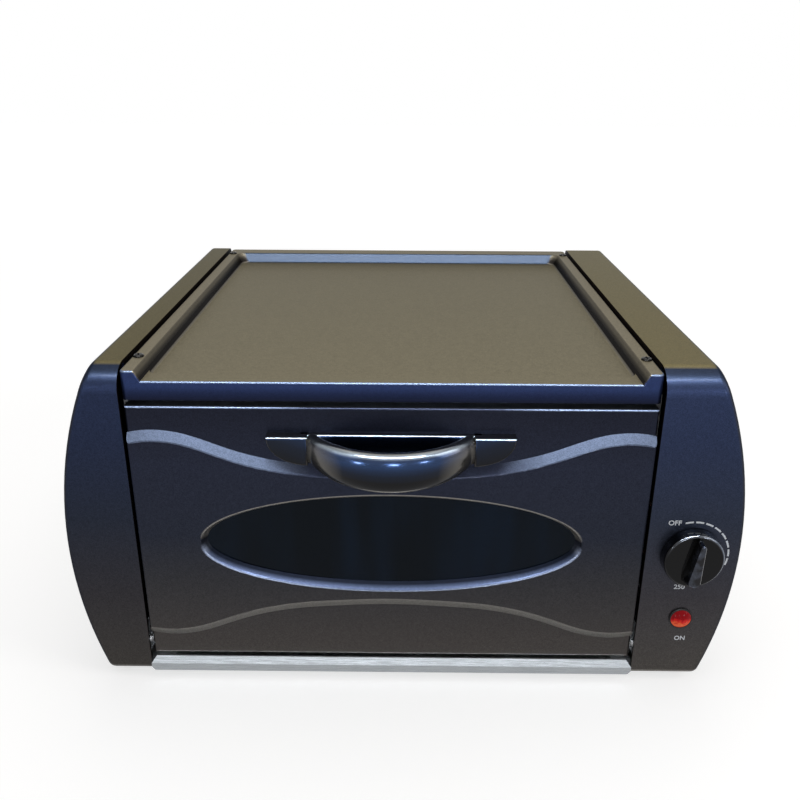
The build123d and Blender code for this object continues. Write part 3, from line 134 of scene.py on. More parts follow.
class Recipe:
    """Builds one material's nodes around a Principled surface."""

    def __init__(self, name: str) -> None:
        """Starts a material.

        Args:
            name: The material's name.
        """
        self.material = bpy.data.materials.new(name)
        self.material.use_nodes = True
        self.tree = self.material.node_tree
        self.surface = next(n for n in self.tree.nodes if n.type == "BSDF_PRINCIPLED")
        coordinates = self.tree.nodes.new("ShaderNodeTexCoord")
        self.place = coordinates.outputs["Object"]
        self.facing = coordinates.outputs["Normal"]

    def feed(self, socket: Socket, value: Value) -> None:
        """Links a socket to another, or sets it to a number or a colour.

        Args:
            socket: The input.
            value: What it takes.
        """
        if isinstance(value, bpy.types.NodeSocket):
            self.tree.links.new(value, socket)
        elif isinstance(value, tuple) and socket.type == "RGBA":
            socket.default_value = (*value, 1.0)
        else:
            socket.default_value = value

    def paint(self, sockets: dict[str, Value]) -> None:
        """Sets the surface's own sockets by name.

        Args:
            sockets: Name and value of each.
        """
        for name, value in sockets.items():
            self.feed(self.surface.inputs[name], value)

    def stretched(self, stretch: Triple) -> Socket:
        """Object coordinates scaled along each axis.

        Args:
            stretch: The scale on X, Y and Z.

        Returns:
            The scaled coordinates.
        """
        node = self.tree.nodes.new("ShaderNodeMapping")
        self.feed(node.inputs["Vector"], self.place)
        node.inputs["Scale"].default_value = stretch
        return node.outputs["Vector"]

    def noise(self, scale: float, detail: float = 2.0, stretch: Triple = (1.0, 1.0, 1.0)) -> Socket:
        """Soft noise.

        Args:
            scale: Waves per metre.
            detail: How many finer layers it has.
            stretch: The scale on each axis.

        Returns:
            Its value, about 0 to 1.
        """
        node = self.tree.nodes.new("ShaderNodeTexNoise")
        self.feed(node.inputs["Vector"], self.stretched(stretch))
        node.inputs["Scale"].default_value = scale
        node.inputs["Detail"].default_value = detail
        return node.outputs["Fac"]

    def cells(self, scale: float, distance: bool = False) -> Socket:
        """Random cells, for flakes and spangle.

        Args:
            scale: Cells per metre.
            distance: Whether to give the distance from the cell's middle and not its shade.

        Returns:
            A value from 0 to 1 in each cell.
        """
        node = self.tree.nodes.new("ShaderNodeTexVoronoi")
        self.feed(node.inputs["Vector"], self.place)
        node.inputs["Scale"].default_value = scale
        if distance:
            return node.outputs["Distance"]
        split = self.tree.nodes.new("ShaderNodeSeparateColor")
        self.feed(split.inputs[0], node.outputs["Color"])
        return split.outputs[0]

    def along(self, vector: Socket, axis: Axis) -> Socket:
        """One axis of a vector.

        Args:
            vector: The vector.
            axis: The axis.

        Returns:
            Its value on that axis.
        """
        node = self.tree.nodes.new("ShaderNodeSeparateXYZ")
        self.feed(node.inputs[0], vector)
        return node.outputs[axis.value]

    def at(self, axis: Axis) -> Socket:
        """Where the surface lies on an axis, in metres."""
        return self.along(self.place, axis)

    def turned(self, axis: Axis) -> Socket:
        """How far the surface faces along an axis, from -1 to 1."""
        return self.along(self.facing, axis)

    def ramp(self, factor: Socket, stops: Sequence[tuple[float, Colour]], smooth: bool = True) -> Socket:
        """Colours along a value.

        Args:
            factor: The value.
            stops: Place and colour of each stop, in order.
            smooth: Whether the colours ease into each other.

        Returns:
            The colour.
        """
        node = self.tree.nodes.new("ShaderNodeValToRGB")
        node.color_ramp.interpolation = "EASE" if smooth else "LINEAR"
        elements = node.color_ramp.elements
        for _ in stops[2:]:
            elements.new(1.0)
        for element, (position, colour) in zip(elements, stops):
            element.position = position
            element.color = (*colour, 1.0)
        self.feed(node.inputs["Fac"], factor)
        return node.outputs["Color"]

    def spread(
        self, value: Socket, start: float, end: float, low: float = 0.0, high: float = 1.0
    ) -> Socket:
        """Maps a value from one range onto another and keeps it there.

        Args:
            value: The value.
            start: Where the first range starts.
            end: Where it ends.
            low: What its start becomes.
            high: What its end becomes.

        Returns:
            The mapped value.
        """
        node = self.tree.nodes.new("ShaderNodeMapRange")
        for socket, number in zip(node.inputs[1:5], (start, end, low, high)):
            socket.default_value = number
        self.feed(node.inputs["Value"], value)
        return node.outputs["Result"]

    def combine(self, operation: Sum, first: Value, second: Value = 0.0) -> Socket:
        """Works one value out of two.

        Args:
            operation: What is done with them.
            first: The first value.
            second: The second value, where the sum takes one.

        Returns:
            The result.
        """
        node = self.tree.nodes.new("ShaderNodeMath")
        node.operation = operation.value
        self.feed(node.inputs[0], first)
        self.feed(node.inputs[1], second)
        return node.outputs[0]

    def blend(self, factor: Value, first: Value, second: Value, mode: Mode = Mode.MIX) -> Socket:
        """Mixes two colours.

        Args:
            factor: The second colour's share.
            first: The first colour.
            second: The second colour.
            mode: How they mix.

        Returns:
            The mixed colour.
        """
        node = self.tree.nodes.new("ShaderNodeMix")
        node.data_type = "RGBA"
        node.blend_type = mode.value
        self.feed(node.inputs[0], factor)
        self.feed(node.inputs[MIX_FIRST], first)
        self.feed(node.inputs[MIX_SECOND], second)
        return node.outputs[MIX_RESULT]

    def multiply(self, first: Value, second: Value) -> Socket:
        """Multiplies one colour by another."""
        return self.blend(1.0, first, second, Mode.MULTIPLY)

    def bump(self, height: Socket, depth: float, strength: float) -> None:
        """Roughens the surface's normal.

        Args:
            height: The relief, about 0 to 1.
            depth: How deep the relief is, in metres.
            strength: How much of it shows.
        """
        node = self.tree.nodes.new("ShaderNodeBump")
        node.inputs["Strength"].default_value = strength
        node.inputs["Distance"].default_value = depth
        self.feed(node.inputs["Height"], height)
        self.feed(self.surface.inputs["Normal"], node.outputs["Normal"])


@dataclass(frozen=True)
class Finish:
    """A finish: a name and a way to make its material."""

    name: str

    def material(self) -> bpy.types.Material:
        """Makes the material once, and gives the one already made after that.

        Returns:
            The material.
        """
        known = bpy.data.materials.get(self.name)
        if known and "made" in known:
            return known
        recipe = Recipe(self.name)
        self.mix(recipe)
        recipe.material["made"] = True
        return recipe.material

    def mix(self, recipe: Recipe) -> None:
        """Fills in the material's nodes.

        Args:
            recipe: The material being built.
        """
        raise NotImplementedError


@dataclass(frozen=True)
class PaintWithPaintedLight(Finish):
    """A dark metallic paint with painted light: its colour by height and facing paints highlights and
    reflections.
    """

    # Painted reflection of the floor: upright faces paler and warmer towards the bottom, darker near the
    # top
    uprights: Stops = (
        (0.0, (0.068, 0.061, 0.056)),
        (0.14, (0.052, 0.047, 0.045)),
        (0.35, (0.030, 0.030, 0.034)),
        (0.50, (0.018, 0.021, 0.032)),
        (0.72, (0.017, 0.020, 0.034)),
        (1.0, (0.008, 0.0085, 0.014)),
    )
    # Painted highlight on the waves' upward slopes, fading to the door's colour towards the middle
    slope: Colour = (0.085, 0.105, 0.155)
    slope_band: Band = (0.10, 0.42)
    wave_end: Colour = (0.017, 0.020, 0.034)
    wave_fade: Band = (0.065, 0.10)
    # Painted highlight on the window's rolled ring: a pale edge over a darker slope, brighter towards the
    # sides and fading back into the recess
    ring_edge: Colour = (0.125, 0.145, 0.20)
    ring: Colour = (0.052, 0.066, 0.112)
    ring_turn: Band = (0.45, 0.6)
    ring_top: float = 0.145
    ring_blur: float = 0.004
    ring_depth: Band = (-0.1820, -0.1788)
    ring_foot: float = 0.12
    ring_side: Band = (0.02, 0.11)
    ring_light: Band = (0.75, 1.45)
    # Painted light: level tops paler than the fronts
    crown: Colour = (0.075, 0.078, 0.086)
    crown_band: Band = (0.93, 0.985)
    # Painted reflection of the floor: faces that turn down are pale warm grey
    under: Colour = (0.27, 0.255, 0.235)
    under_band: Band = (-0.12, -0.4)
    full_height: float = 0.252
    flakes: float = 2500.0
    sparkle: float = 0.25
    clouds: float = 380.0
    cloudy: float = 0.06
    rough: float = 0.36
    wear: float = 700.0
    peel: float = 1100.0
    peel_depth: float = 0.00003
    edge_tint: Colour = (0.35, 0.37, 0.40)

    def mix(self, recipe: Recipe) -> None:
        """Mixes the paint from its painted light by height and facing, and from its flakes.

        Args:
            recipe: The material being built.
        """
        flake = recipe.cells(self.flakes)
        grain = recipe.spread(flake, 0.0, 1.0, 1.0 - self.sparkle, 1.0 + self.sparkle)
        cloud = recipe.noise(self.clouds, 3.0)
        shift = recipe.spread(cloud, *MIDDLE, 1.0 - self.cloudy, 1.0 + self.cloudy)
        wear = recipe.noise(self.wear)
        recipe.paint(
            {
                "Base Color": recipe.multiply(recipe.multiply(self.shade(recipe), grain), shift),
                "Metallic": 0.85,
                "Roughness": recipe.spread(wear, *WIDE, self.rough - 0.04, self.rough + 0.06),
                "Specular IOR Level": 0.12,
                "Specular Tint": self.edge_tint,
                "Coat Weight": 0.03,
                "Coat Roughness": 0.12,
            }
        )
        recipe.bump(recipe.noise(self.peel, 1.0), self.peel_depth, 0.3)

    def shade(self, recipe: Recipe) -> Socket:
        """Mixes the painted light of uprights, slopes, tops and undersides.

        Args:
            recipe: The material being built.

        Returns:
            The colour before its flakes.
        """
        up = recipe.turned(Axis.Z)
        rise = recipe.spread(recipe.at(Axis.Z), 0.0, self.full_height)
        upright = recipe.ramp(rise, self.uprights, smooth=False)
        face = recipe.blend(recipe.spread(up, *self.under_band), upright, self.under)
        sloped = recipe.blend(recipe.spread(up, *self.slope_band), face, self.slope_colour(recipe))
        return recipe.blend(recipe.spread(up, *self.crown_band), sloped, self.crown_colour(recipe))

    def slope_colour(self, recipe: Recipe) -> Value:
        """Mixes the painted highlights on the waves' slopes, fading to the middle, and on the window ring
        below them.

        Args:
            recipe: The material being built.

        Returns:
            The colour.
        """
        aside = recipe.combine(Sum.ABSOLUTE, recipe.at(Axis.X))
        wave = recipe.blend(recipe.spread(aside, *self.wave_fade), self.wave_end, self.slope)
        rolled = recipe.spread(recipe.turned(Axis.Z), *self.ring_turn)
        near = recipe.spread(recipe.at(Axis.Y), *self.ring_depth, 1.0, self.ring_foot)
        light = recipe.spread(aside, *self.ring_side, *self.ring_light)
        lit = recipe.combine(Sum.MULTIPLY, near, light)
        ring = recipe.multiply(recipe.blend(rolled, self.ring_edge, self.ring), lit)
        above = recipe.spread(recipe.at(Axis.Z), self.ring_top, self.ring_top + self.ring_blur)
        return recipe.blend(above, ring, wave)

    def crown_colour(self, recipe: Recipe) -> Value:
        """The painted light of level tops; one colour unless a coat says otherwise."""
        return self.crown

    def across(self, recipe: Recipe) -> Socket:
        """How far a face points away from the oven's middle, times its distance from it.

        Args:
            recipe: The material being built.

        Returns:
            A value below 0 for faces that look inwards.
        """
        return recipe.combine(Sum.MULTIPLY, recipe.turned(Axis.X), recipe.at(Axis.X))


@dataclass(frozen=True)
class CoverPaint(PaintWithPaintedLight):
    """The side covers' paint, bluer, with painted light: painted shade on the inner walls and the left
    cover, and a painted reflection on the outer sides.
    """

    # Painted reflection of the floor: fronts warm grey at the bottom, navy higher up
    uprights: Stops = (
        (0.0, (0.066, 0.060, 0.054)),
        (0.30, (0.037, 0.035, 0.040)),
        (0.55, (0.022, 0.027, 0.043)),
        (0.80, (0.020, 0.028, 0.060)),
        (1.0, (0.022, 0.032, 0.074)),
    )
    # Painted light: the shoulders, the rounded edge between front and top, a darker navy than the fronts
    slope: Colour = (0.015, 0.021, 0.038)
    slope_band: Band = (0.25, 0.7)
    # Painted light: level tops warm olive brown
    crown: Colour = (0.17, 0.142, 0.072)
    # Painted shade on the inner walls that face the griddle
    inner: Colour = (0.024, 0.018, 0.015)
    inner_band: Band = (-0.03, -0.12)
    # Painted reflection on the outer sides
    outer: Colour = (0.036, 0.036, 0.042)
    outer_band: Band = (0.08, 0.16)
    # Painted shade: the left cover darker than the right
    left_painted_shade: float = 0.76
    left_band: Band = (-0.05, 0.05)

    def shade(self, recipe: Recipe) -> Socket:
        """Adds the painted shade of the inner walls and the left cover, and the painted reflection on the
        outer edges.

        Args:
            recipe: The material being built.

        Returns:
            The colour before its flakes.
        """
        across = self.across(recipe)
        edged = recipe.blend(recipe.spread(across, *self.outer_band), super().shade(recipe), self.outer)
        walled = recipe.blend(recipe.spread(across, *self.inner_band), edged, self.inner)
        side = recipe.spread(recipe.at(Axis.X), *self.left_band, self.left_painted_shade, 1.0)
        return recipe.multiply(walled, side)

    def slope_colour(self, recipe: Recipe) -> Value:
        """The shoulders' painted light, one colour all along."""
        return self.slope


@dataclass(frozen=True)
class GriddleCoat(PaintWithPaintedLight):
    """The griddle's coating, with painted light: floor and rails painted warm as if lit from above, painted
    shade and a painted highlight bead in the coves, and a painted highlight on the front lip.
    """

    # Painted highlight: the skirt's front brighter navy towards its top edge
    uprights: Stops = (
        (0.0, (0.006, 0.009, 0.020)),
        (0.87, (0.0045, 0.0055, 0.012)),
        (0.908, (0.007, 0.0085, 0.0186)),
        (0.931, (0.0114, 0.017, 0.0464)),
        (0.948, (0.0187, 0.030, 0.085)),
        (1.0, (0.0187, 0.030, 0.085)),
    )
    # Painted shade on the back slope, and a painted highlight on the front lip's edge
    slope: Colour = (0.016, 0.023, 0.037)
    lip: Colour = (0.095, 0.12, 0.175)
    lip_place: float = -0.165
    lip_blur: float = 0.01
    # Painted light in the side coves: a pale painted highlight at the floor's edge, painted shade on the
    # walls, paler again near the rails
    cove: Stops = (
        (0.0, (0.125, 0.112, 0.088)),
        (0.09, (0.125, 0.112, 0.088)),
        (0.17, (0.014, 0.012, 0.011)),
        (0.50, (0.016, 0.014, 0.012)),
        (0.80, (0.050, 0.044, 0.034)),
        (1.0, (0.105, 0.092, 0.068)),
    )
    cove_height: Band = (0.2406, 0.2480)
    cove_band: Band = (-0.01, -0.05)
    # Painted light: the floor warm olive, the rails' tops paler still
    crown: Colour = (0.168, 0.147, 0.098)
    rail: Colour = (0.190, 0.165, 0.115)
    rail_height: Band = (0.2425, 0.2465)
    sparkle: float = 0.16
    rough: float = 0.42

    def slope_colour(self, recipe: Recipe) -> Socket:
        """Mixes the painted light of the back slope, the side coves and the front lip's edge.

        Args:
            recipe: The material being built.

        Returns:
            The colour.
        """
        behind = recipe.spread(recipe.at(Axis.Y), self.lip_place - self.lip_blur, self.lip_place)
        slope = recipe.blend(behind, self.lip, self.slope)
        inwards = recipe.spread(self.across(recipe), *self.cove_band)
        rise = recipe.spread(recipe.at(Axis.Z), *self.cove_height)
        return recipe.blend(inwards, slope, recipe.ramp(rise, self.cove, smooth=False))

    def crown_colour(self, recipe: Recipe) -> Socket:
        """Mixes the rails' painted light above the floor's."""
        above = recipe.spread(recipe.at(Axis.Z), *self.rail_height)
        return recipe.blend(above, self.crown, self.rail)


@dataclass(frozen=True)
class SpangledZinc(Finish):
    """Galvanised sheet with its flat crystals."""

    light: Colour = (0.58, 0.59, 0.60)
    dark: Colour = (0.49, 0.50, 0.52)
    crystals: float = 170.0
    mist: float = 260.0

    def mix(self, recipe: Recipe) -> None:
        """Mixes crystals, a fine haze and a little relief.

        Args:
            recipe: The material being built.
        """
        crystal = recipe.cells(self.crystals)
        haze = recipe.noise(self.mist, 4.0)
        tone = recipe.blend(0.35, crystal, haze)
        recipe.paint(
            {
                "Base Color": recipe.ramp(tone, [(0.2, self.dark), (0.8, self.light)]),
                "Metallic": 0.9,
                "Roughness": recipe.spread(crystal, 0.0, 1.0, 0.34, 0.5),
            }
        )
        recipe.bump(haze, 0.00004, 0.4)


@dataclass(frozen=True)
class BrushedMetal(Finish):
    """Metal with fine lines along its length."""

    colour: Colour
    shade: Colour
    rough: float
    brushing: float = 2600.0
    stretch: Triple = (0.02, 1.0, 1.0)
    stains: float = 60.0

    def mix(self, recipe: Recipe) -> None:
        """Mixes fine lines into the colour, the roughness and the relief.

        Args:
            recipe: The material being built.
        """
        lines = recipe.noise(self.brushing, 3.0, self.stretch)
        tone = recipe.blend(0.3, lines, recipe.noise(self.stains, 3.0))
        recipe.paint(
            {
                "Base Color": recipe.ramp(tone, [(0.25, self.shade), (0.7, self.colour)]),
                "Metallic": 0.95,
                "Roughness": recipe.spread(lines, *WIDE, self.rough - 0.06, self.rough + 0.1),
            }
        )
        recipe.bump(lines, 0.00003, 0.35)


@dataclass(frozen=True)
class PlatedWire(Finish):
    """Bright chromed or zinc-plated steel, with a faint ripple from the plating."""

    colour: Colour = (0.78, 0.79, 0.81)
    rough: float = 0.12
    ripples: float = 420.0
    thin_share: float = 0.82

    def mix(self, recipe: Recipe) -> None:
        """Mixes the plating's ripple.

        Args:
            recipe: The material being built.
        """
        ripple = recipe.noise(self.ripples)
        thin = tuple(self.thin_share * c for c in self.colour)
        recipe.paint(
            {
                "Base Color": recipe.ramp(ripple, [(0.2, thin), (0.7, self.colour)]),
                "Metallic": 1.0,
                "Roughness": recipe.spread(ripple, *MIDDLE, self.rough - 0.03, self.rough + 0.05),
            }
        )
        recipe.bump(ripple, 0.00003, 0.3)


@dataclass(frozen=True)
class HeatedSheath(Finish):
    """An element's steel sheath, browned and blued by heat."""

    cool: Colour = (0.20, 0.19, 0.18)
    straw: Colour = (0.13, 0.085, 0.055)
    blue: Colour = (0.06, 0.065, 0.085)
    heat_marks: float = 24.0
    scaling: float = 1500.0

    def mix(self, recipe: Recipe) -> None:
        """Mixes patches of heat tint and a scaly grain.

        Args:
            recipe: The material being built.
        """
        patches = recipe.noise(self.heat_marks, 4.0)
        scale = recipe.noise(self.scaling, 3.0)
        tint = recipe.ramp(patches, [(0.3, self.cool), (0.5, self.straw), (0.68, self.blue)])
        recipe.paint(
            {
                "Base Color": recipe.blend(0.35, tint, scale, Mode.OVERLAY),
                "Metallic": 0.75,
                "Roughness": recipe.spread(scale, *WIDE, 0.42, 0.62),
            }
        )
        recipe.bump(scale, 0.00005, 0.5)


@dataclass(frozen=True)
class RawCeramic(Finish):
    """Unglazed ceramic with fine pores and a little soot."""

    body: Colour = (0.82, 0.78, 0.70)
    soot: Colour = (0.55, 0.50, 0.43)
    pitting: float = 2400.0
    smudges: float = 150.0

    def mix(self, recipe: Recipe) -> None:
        """Mixes pores and soot.

        Args:
            recipe: The material being built.
        """
        pores = recipe.noise(self.pitting, 3.0)
        smudge = recipe.noise(self.smudges, 3.0)
        recipe.paint(
            {
                "Base Color": recipe.ramp(smudge, [(0.3, self.soot), (0.6, self.body)]),
                "Roughness": recipe.spread(pores, *WIDE, 0.7, 0.9),
            }
        )
        recipe.bump(pores, 0.00008, 0.5)


@dataclass(frozen=True)
class SmokedGlass(Finish):
    """Dark tempered glass, with painted reflections in bluish upright streaks."""

    tint: Colour = (0.001, 0.0012, 0.002)
    # Painted reflection: bluish streaks over the dark tint
    reflection_streak: Colour = (0.004, 0.013, 0.034)
    sheen: Colour = (0.62, 0.78, 1.0)
    streaks: float = 28.0
    stretch: Triple = (1.0, 1.0, 0.12)

    def mix(self, recipe: Recipe) -> None:
        """Mixes the tint and the painted reflection streaks.

        Args:
            recipe: The material being built.
        """
        haze = recipe.noise(self.streaks, 2.0, self.stretch)
        recipe.paint(
            {
                "Base Color": recipe.ramp(haze, [(0.38, self.tint), (0.68, self.reflection_streak)]),
                "Transmission Weight": 0.45,
                "Roughness": recipe.spread(haze, *MIDDLE, 0.02, 0.05),
                "IOR": 1.22,
                "Specular Tint": self.sheen,
            }
        )


@dataclass(frozen=True)
class MouldedPlastic(Finish):
    """A matt moulded plastic with a fine grain."""

    colour: Colour
    fleck: Colour
    rough: float
    shine: float = 0.5
    grain: float = 1200.0
    grain_depth: float = 0.00008
    flow_marks: float = 45.0

    def mix(self, recipe: Recipe) -> None:
        """Mixes the mould's grain into the colour, gloss and relief.

        Args:
            recipe: The material being built.
        """
        skin = recipe.noise(self.grain, 3.0)
        flow = recipe.noise(self.flow_marks)
        recipe.paint(
            {
                "Base Color": recipe.ramp(flow, [(0.3, self.colour), (0.75, self.fleck)]),
                "Roughness": recipe.spread(skin, 0.25, 0.75, self.rough - 0.04, self.rough + 0.05),
                "Specular IOR Level": self.shine,
            }
        )
        recipe.bump(skin, self.grain_depth, 0.3)


@dataclass(frozen=True)
class GlossLacquer(Finish):
    """Glossy black lacquer over fine flake, with painted light by facing: painted highlights and painted
    reflections where it turns up, down or aside.
    """

    # Painted light by facing: a pale painted reflection under the grip, black where faces turn a little
    # down, a bluish painted reflection on the belly, a painted highlight at the rim and paler tops
    turns: Stops = (
        (0.0, (0.34, 0.32, 0.29)),
        (0.21, (0.34, 0.32, 0.29)),
        (0.26, (0.003, 0.003, 0.004)),
        (0.44, (0.004, 0.004, 0.005)),
        (0.50, (0.006, 0.010, 0.021)),
        (0.58, (0.014, 0.032, 0.084)),
        (0.72, (0.022, 0.040, 0.092)),
        (0.81, (0.22, 0.26, 0.31)),
        (0.87, (0.22, 0.25, 0.28)),
        (0.97, (0.075, 0.078, 0.078)),
        (1.0, (0.070, 0.072, 0.072)),
    )
    # Painted highlights on faces that turn sideways
    left: Colour = (0.13, 0.12, 0.105)
    right: Colour = (0.13, 0.12, 0.105)
    side_band: Band = (0.45, 0.8)
    flakes: float = 3500.0
    sparkle: float = 0.18
    rough: float = 0.2
    wear: float = 600.0

    def mix(self, recipe: Recipe) -> None:
        """Mixes the lacquer's painted light by facing, its flakes and the clear layer over them.

        Args:
            recipe: The material being built.
        """
        flake = recipe.cells(self.flakes)
        grain = recipe.spread(flake, 0.0, 1.0, 1.0 - self.sparkle, 1.0 + self.sparkle)
        wear = recipe.noise(self.wear)
        recipe.paint(
            {
                "Base Color": recipe.multiply(self.shade(recipe), grain),
                "Metallic": 0.9,
                "Roughness": recipe.spread(wear, *MIDDLE, self.rough - 0.04, self.rough + 0.04),
                "Specular IOR Level": 0.1,
                "Coat Weight": 0.6,
                "Coat IOR": 1.3,
                "Coat Roughness": 0.03,
            }
        )

    def shade(self, recipe: Recipe) -> Socket:
        """Mixes the painted highlights and reflections of the turned-up, turned-down and sideways surfaces.

        Args:
            recipe: The material being built.

        Returns:
            The colour before its flakes.
        """
        up = recipe.spread(recipe.turned(Axis.Z), -1.0, 1.0)
        sideways = recipe.turned(Axis.X)
        low, high = self.side_band
        face = recipe.ramp(up, self.turns, smooth=False)
        face = recipe.blend(recipe.spread(sideways, -low, -high), face, self.left)
        return recipe.blend(recipe.spread(sideways, low, high), face, self.right)


@dataclass(frozen=True)
class KnobLacquer(GlossLacquer):
    """The knob's blacker lacquer, with painted light: a painted highlight on its upper rim and right side,
    painted shade on its left, and painted reflections on its crest.
    """

    # Painted light by facing: a painted highlight where the rim turns up, black on the face
    turns: Stops = (
        (0.0, (0.012, 0.012, 0.013)),
        (0.49, (0.0015, 0.0015, 0.002)),
        (0.52, (0.0015, 0.0015, 0.002)),
        (0.62, (0.045, 0.048, 0.056)),
        (0.80, (0.11, 0.12, 0.14)),
        (1.0, (0.05, 0.054, 0.06)),
    )
    # Painted shade on faces turned left, a painted highlight on faces turned right
    left: Colour = (0.004, 0.004, 0.005)
    right: Colour = (0.10, 0.12, 0.165)
    side_band: Band = (0.2, 0.6)
    rough: float = 0.16
    # Painted reflections on the crest, in patches
    crest: Stops = (
        (0.35, (0.010, 0.010, 0.012)),
        (0.55, (0.032, 0.036, 0.048)),
        (0.72, (0.085, 0.10, 0.135)),
    )
    crest_place: Band = (-0.1935, -0.199)
    crest_reflections: float = 150.0

    def shade(self, recipe: Recipe) -> Socket:
        """Adds the painted reflections on the crest, in patches.

        Args:
            recipe: The material being built.

        Returns:
            The colour before its flakes.
        """
        patches = recipe.ramp(recipe.noise(self.crest_reflections), self.crest)
        crest = recipe.spread(recipe.at(Axis.Y), *self.crest_place)
        return recipe.blend(crest, super().shade(recipe), patches)


@dataclass(frozen=True)
class LampLens(Finish):
    """A clear red lens, lit from behind, with the fine facets of its moulding."""

    deep: Colour = (0.22, 0.003, 0.006)
    hot: Colour = (0.55, 0.016, 0.016)
    amber: Colour = (0.75, 0.11, 0.035)
    glow: float = 0.32
    glow_band: Band = (0.35, -0.35)
    facets: float = 900.0
    patches: float = 300.0
    patch_share: float = 0.25

    def mix(self, recipe: Recipe) -> None:
        """Mixes a warmer lower half, soft patches and fine facets.

        Args:
            recipe: The material being built.
        """
        facets = recipe.cells(self.facets, distance=True)
        patch = recipe.spread(recipe.noise(self.patches), *MIDDLE, -self.patch_share, self.patch_share)
        low = recipe.spread(recipe.turned(Axis.Z), *self.glow_band)
        warmth = recipe.combine(Sum.ADD, low, patch)
        red = recipe.ramp(warmth, [(0.15, self.deep), (0.55, self.hot), (0.95, self.amber)])
        recipe.paint(
            {
                "Base Color": red,
                "Roughness": recipe.spread(facets, 0.0, 1.0, 0.08, 0.16),
                "Emission Color": red,
                "Emission Strength": self.glow,
                "Specular IOR Level": 0.06,
            }
        )
        recipe.bump(facets, 0.00005, 0.3)


@dataclass(frozen=True)
class SoftRubber(Finish):
    """Matt black rubber with a dusty bloom."""

    colour: Colour = (0.018, 0.018, 0.018)
    bloom: Colour = (0.06, 0.058, 0.055)
    dusting: float = 320.0

    def mix(self, recipe: Recipe) -> None:
        """Mixes the bloom and the moulding's grain.

        Args:
            recipe: The material being built.
        """
        dust = recipe.noise(self.dusting, 4.0)
        recipe.paint(
            {
                "Base Color": recipe.ramp(dust, [(0.4, self.colour), (0.8, self.bloom)]),
                "Roughness": recipe.spread(dust, *WIDE, 0.7, 0.88),
            }
        )
        recipe.bump(dust, 0.00006, 0.5)


@dataclass(frozen=True)
class WovenSleeve(Finish):
    """The braided heat-proof sleeve of the inner wires."""

    thread: Colour = (0.44, 0.12, 0.075)
    gap: Colour = (0.16, 0.045, 0.03)
    threads: float = 1400.0

    def mix(self, recipe: Recipe) -> None:
        """Mixes the braid's cells.

        Args:
            recipe: The material being built.
        """
        braid = recipe.cells(self.threads, distance=True)
        recipe.paint(
            {
                "Base Color": recipe.ramp(braid, [(0.1, self.thread), (0.7, self.gap)]),
                "Roughness": 0.75,
                "Sheen Weight": 0.2,
            }
        )
        recipe.bump(braid, 0.0002, 0.6)


@dataclass(frozen=True)
class PrintedInk(Finish):
    """Screen-printed marks on the control panel."""

    colour: Colour = (0.80, 0.84, 0.90)
    thin_share: float = 0.8
    patches: float = 1800.0

    def mix(self, recipe: Recipe) -> None:
        """Mixes the ink's slight unevenness.

        Args:
            recipe: The material being built.
        """
        patch = recipe.noise(self.patches, 3.0)
        thin = tuple(self.thin_share * c for c in self.colour)
        recipe.paint(
            {
                "Base Color": recipe.ramp(patch, [(0.3, thin), (0.6, self.colour)]),
                "Roughness": recipe.spread(patch, *WIDE, 0.45, 0.6),
            }
        )
        recipe.bump(patch, 0.00002, 0.3)


@dataclass
class Dressing:
    """Gives CAD nodes their finishes, by node name."""

    name: str
    finish: Finish
    nodes: tuple[str, ...]

    def build(self) -> None:
        """Puts the finish in every material slot of every node."""
        material = self.finish.material()
        for node in self.nodes:
            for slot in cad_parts[node].material_slots:
                slot.material = material
        log.info("%s: %s on %d nodes", self.name, self.finish.name, len(self.nodes))


class Piece:
    """A new mesh in the frame's coordinates, built up in one bmesh."""

    def __init__(self, name: str) -> None:
        """Starts an empty piece.

        Args:
            name: The piece's name.
        """
        self.name = name
        self.mesh = bmesh.new()

    def add(self, other: bmesh.types.BMesh, matrix: Matrix = Matrix.Identity(4)) -> None:
        """Adds a copy of another mesh.

        Args:
            other: The mesh to copy.
            matrix: Where the copy goes.
        """
        carrier = bpy.data.meshes.new("carrier")
        other.to_mesh(carrier)
        carrier.transform(matrix)
        self.mesh.from_mesh(carrier)
        bpy.data.meshes.remove(carrier)

    def finish(self, finish: Finish, slot: str, smooth: float = 0.6) -> bpy.types.Object:
        """Closes the piece and makes its object.

        Args:
            finish: What it is finished in.
            slot: The record's material slot; not used.
            smooth: The sharpest bend, in radians, that is still shaded smooth.

        Returns:
            The object.
        """
        bmesh.ops.remove_doubles(self.mesh, verts=self.mesh.verts, dist=1e-6)
        bmesh.ops.recalc_face_normals(self.mesh, faces=self.mesh.faces)
        for face in self.mesh.faces:
            face.smooth = True
        for edge in self.mesh.edges:
            edge.smooth = len(edge.link_faces) == 2 and edge.calc_face_angle(0.0) < smooth
        data = bpy.data.meshes.new(self.name)
        self.mesh.to_mesh(data)
        self.mesh.free()
        data.materials.append(finish.material())
        piece = bpy.data.objects.new(self.name, data)
        bpy.context.scene.collection.objects.link(piece)
        log.info("%s: %d faces", self.name, len(data.polygons))
        return piece


def facing(direction: Vector) -> Matrix:
    """The turn that takes +Z to a direction, as a 4 by 4 matrix."""
    return direction.to_track_quat("Z", "Y").to_matrix().to_4x4()


def extruded(mesh: bmesh.types.BMesh, faces: list, keep: bool = False) -> tuple[list, list]:
    """Extrudes some faces and leaves the new ones where they are.

    Args:
        mesh: The mesh they are in.
        faces: The faces.
        keep: Whether the first faces are kept in any case.

    Returns:
        The new vertices and the new faces.
    """
    grown = bmesh.ops.extrude_face_region(mesh, geom=faces, use_keep_orig=keep)["geom"]
    verts = [part for part in grown if isinstance(part, bmesh.types.BMVert)]
    return verts, [part for part in grown if isinstance(part, bmesh.types.BMFace)]


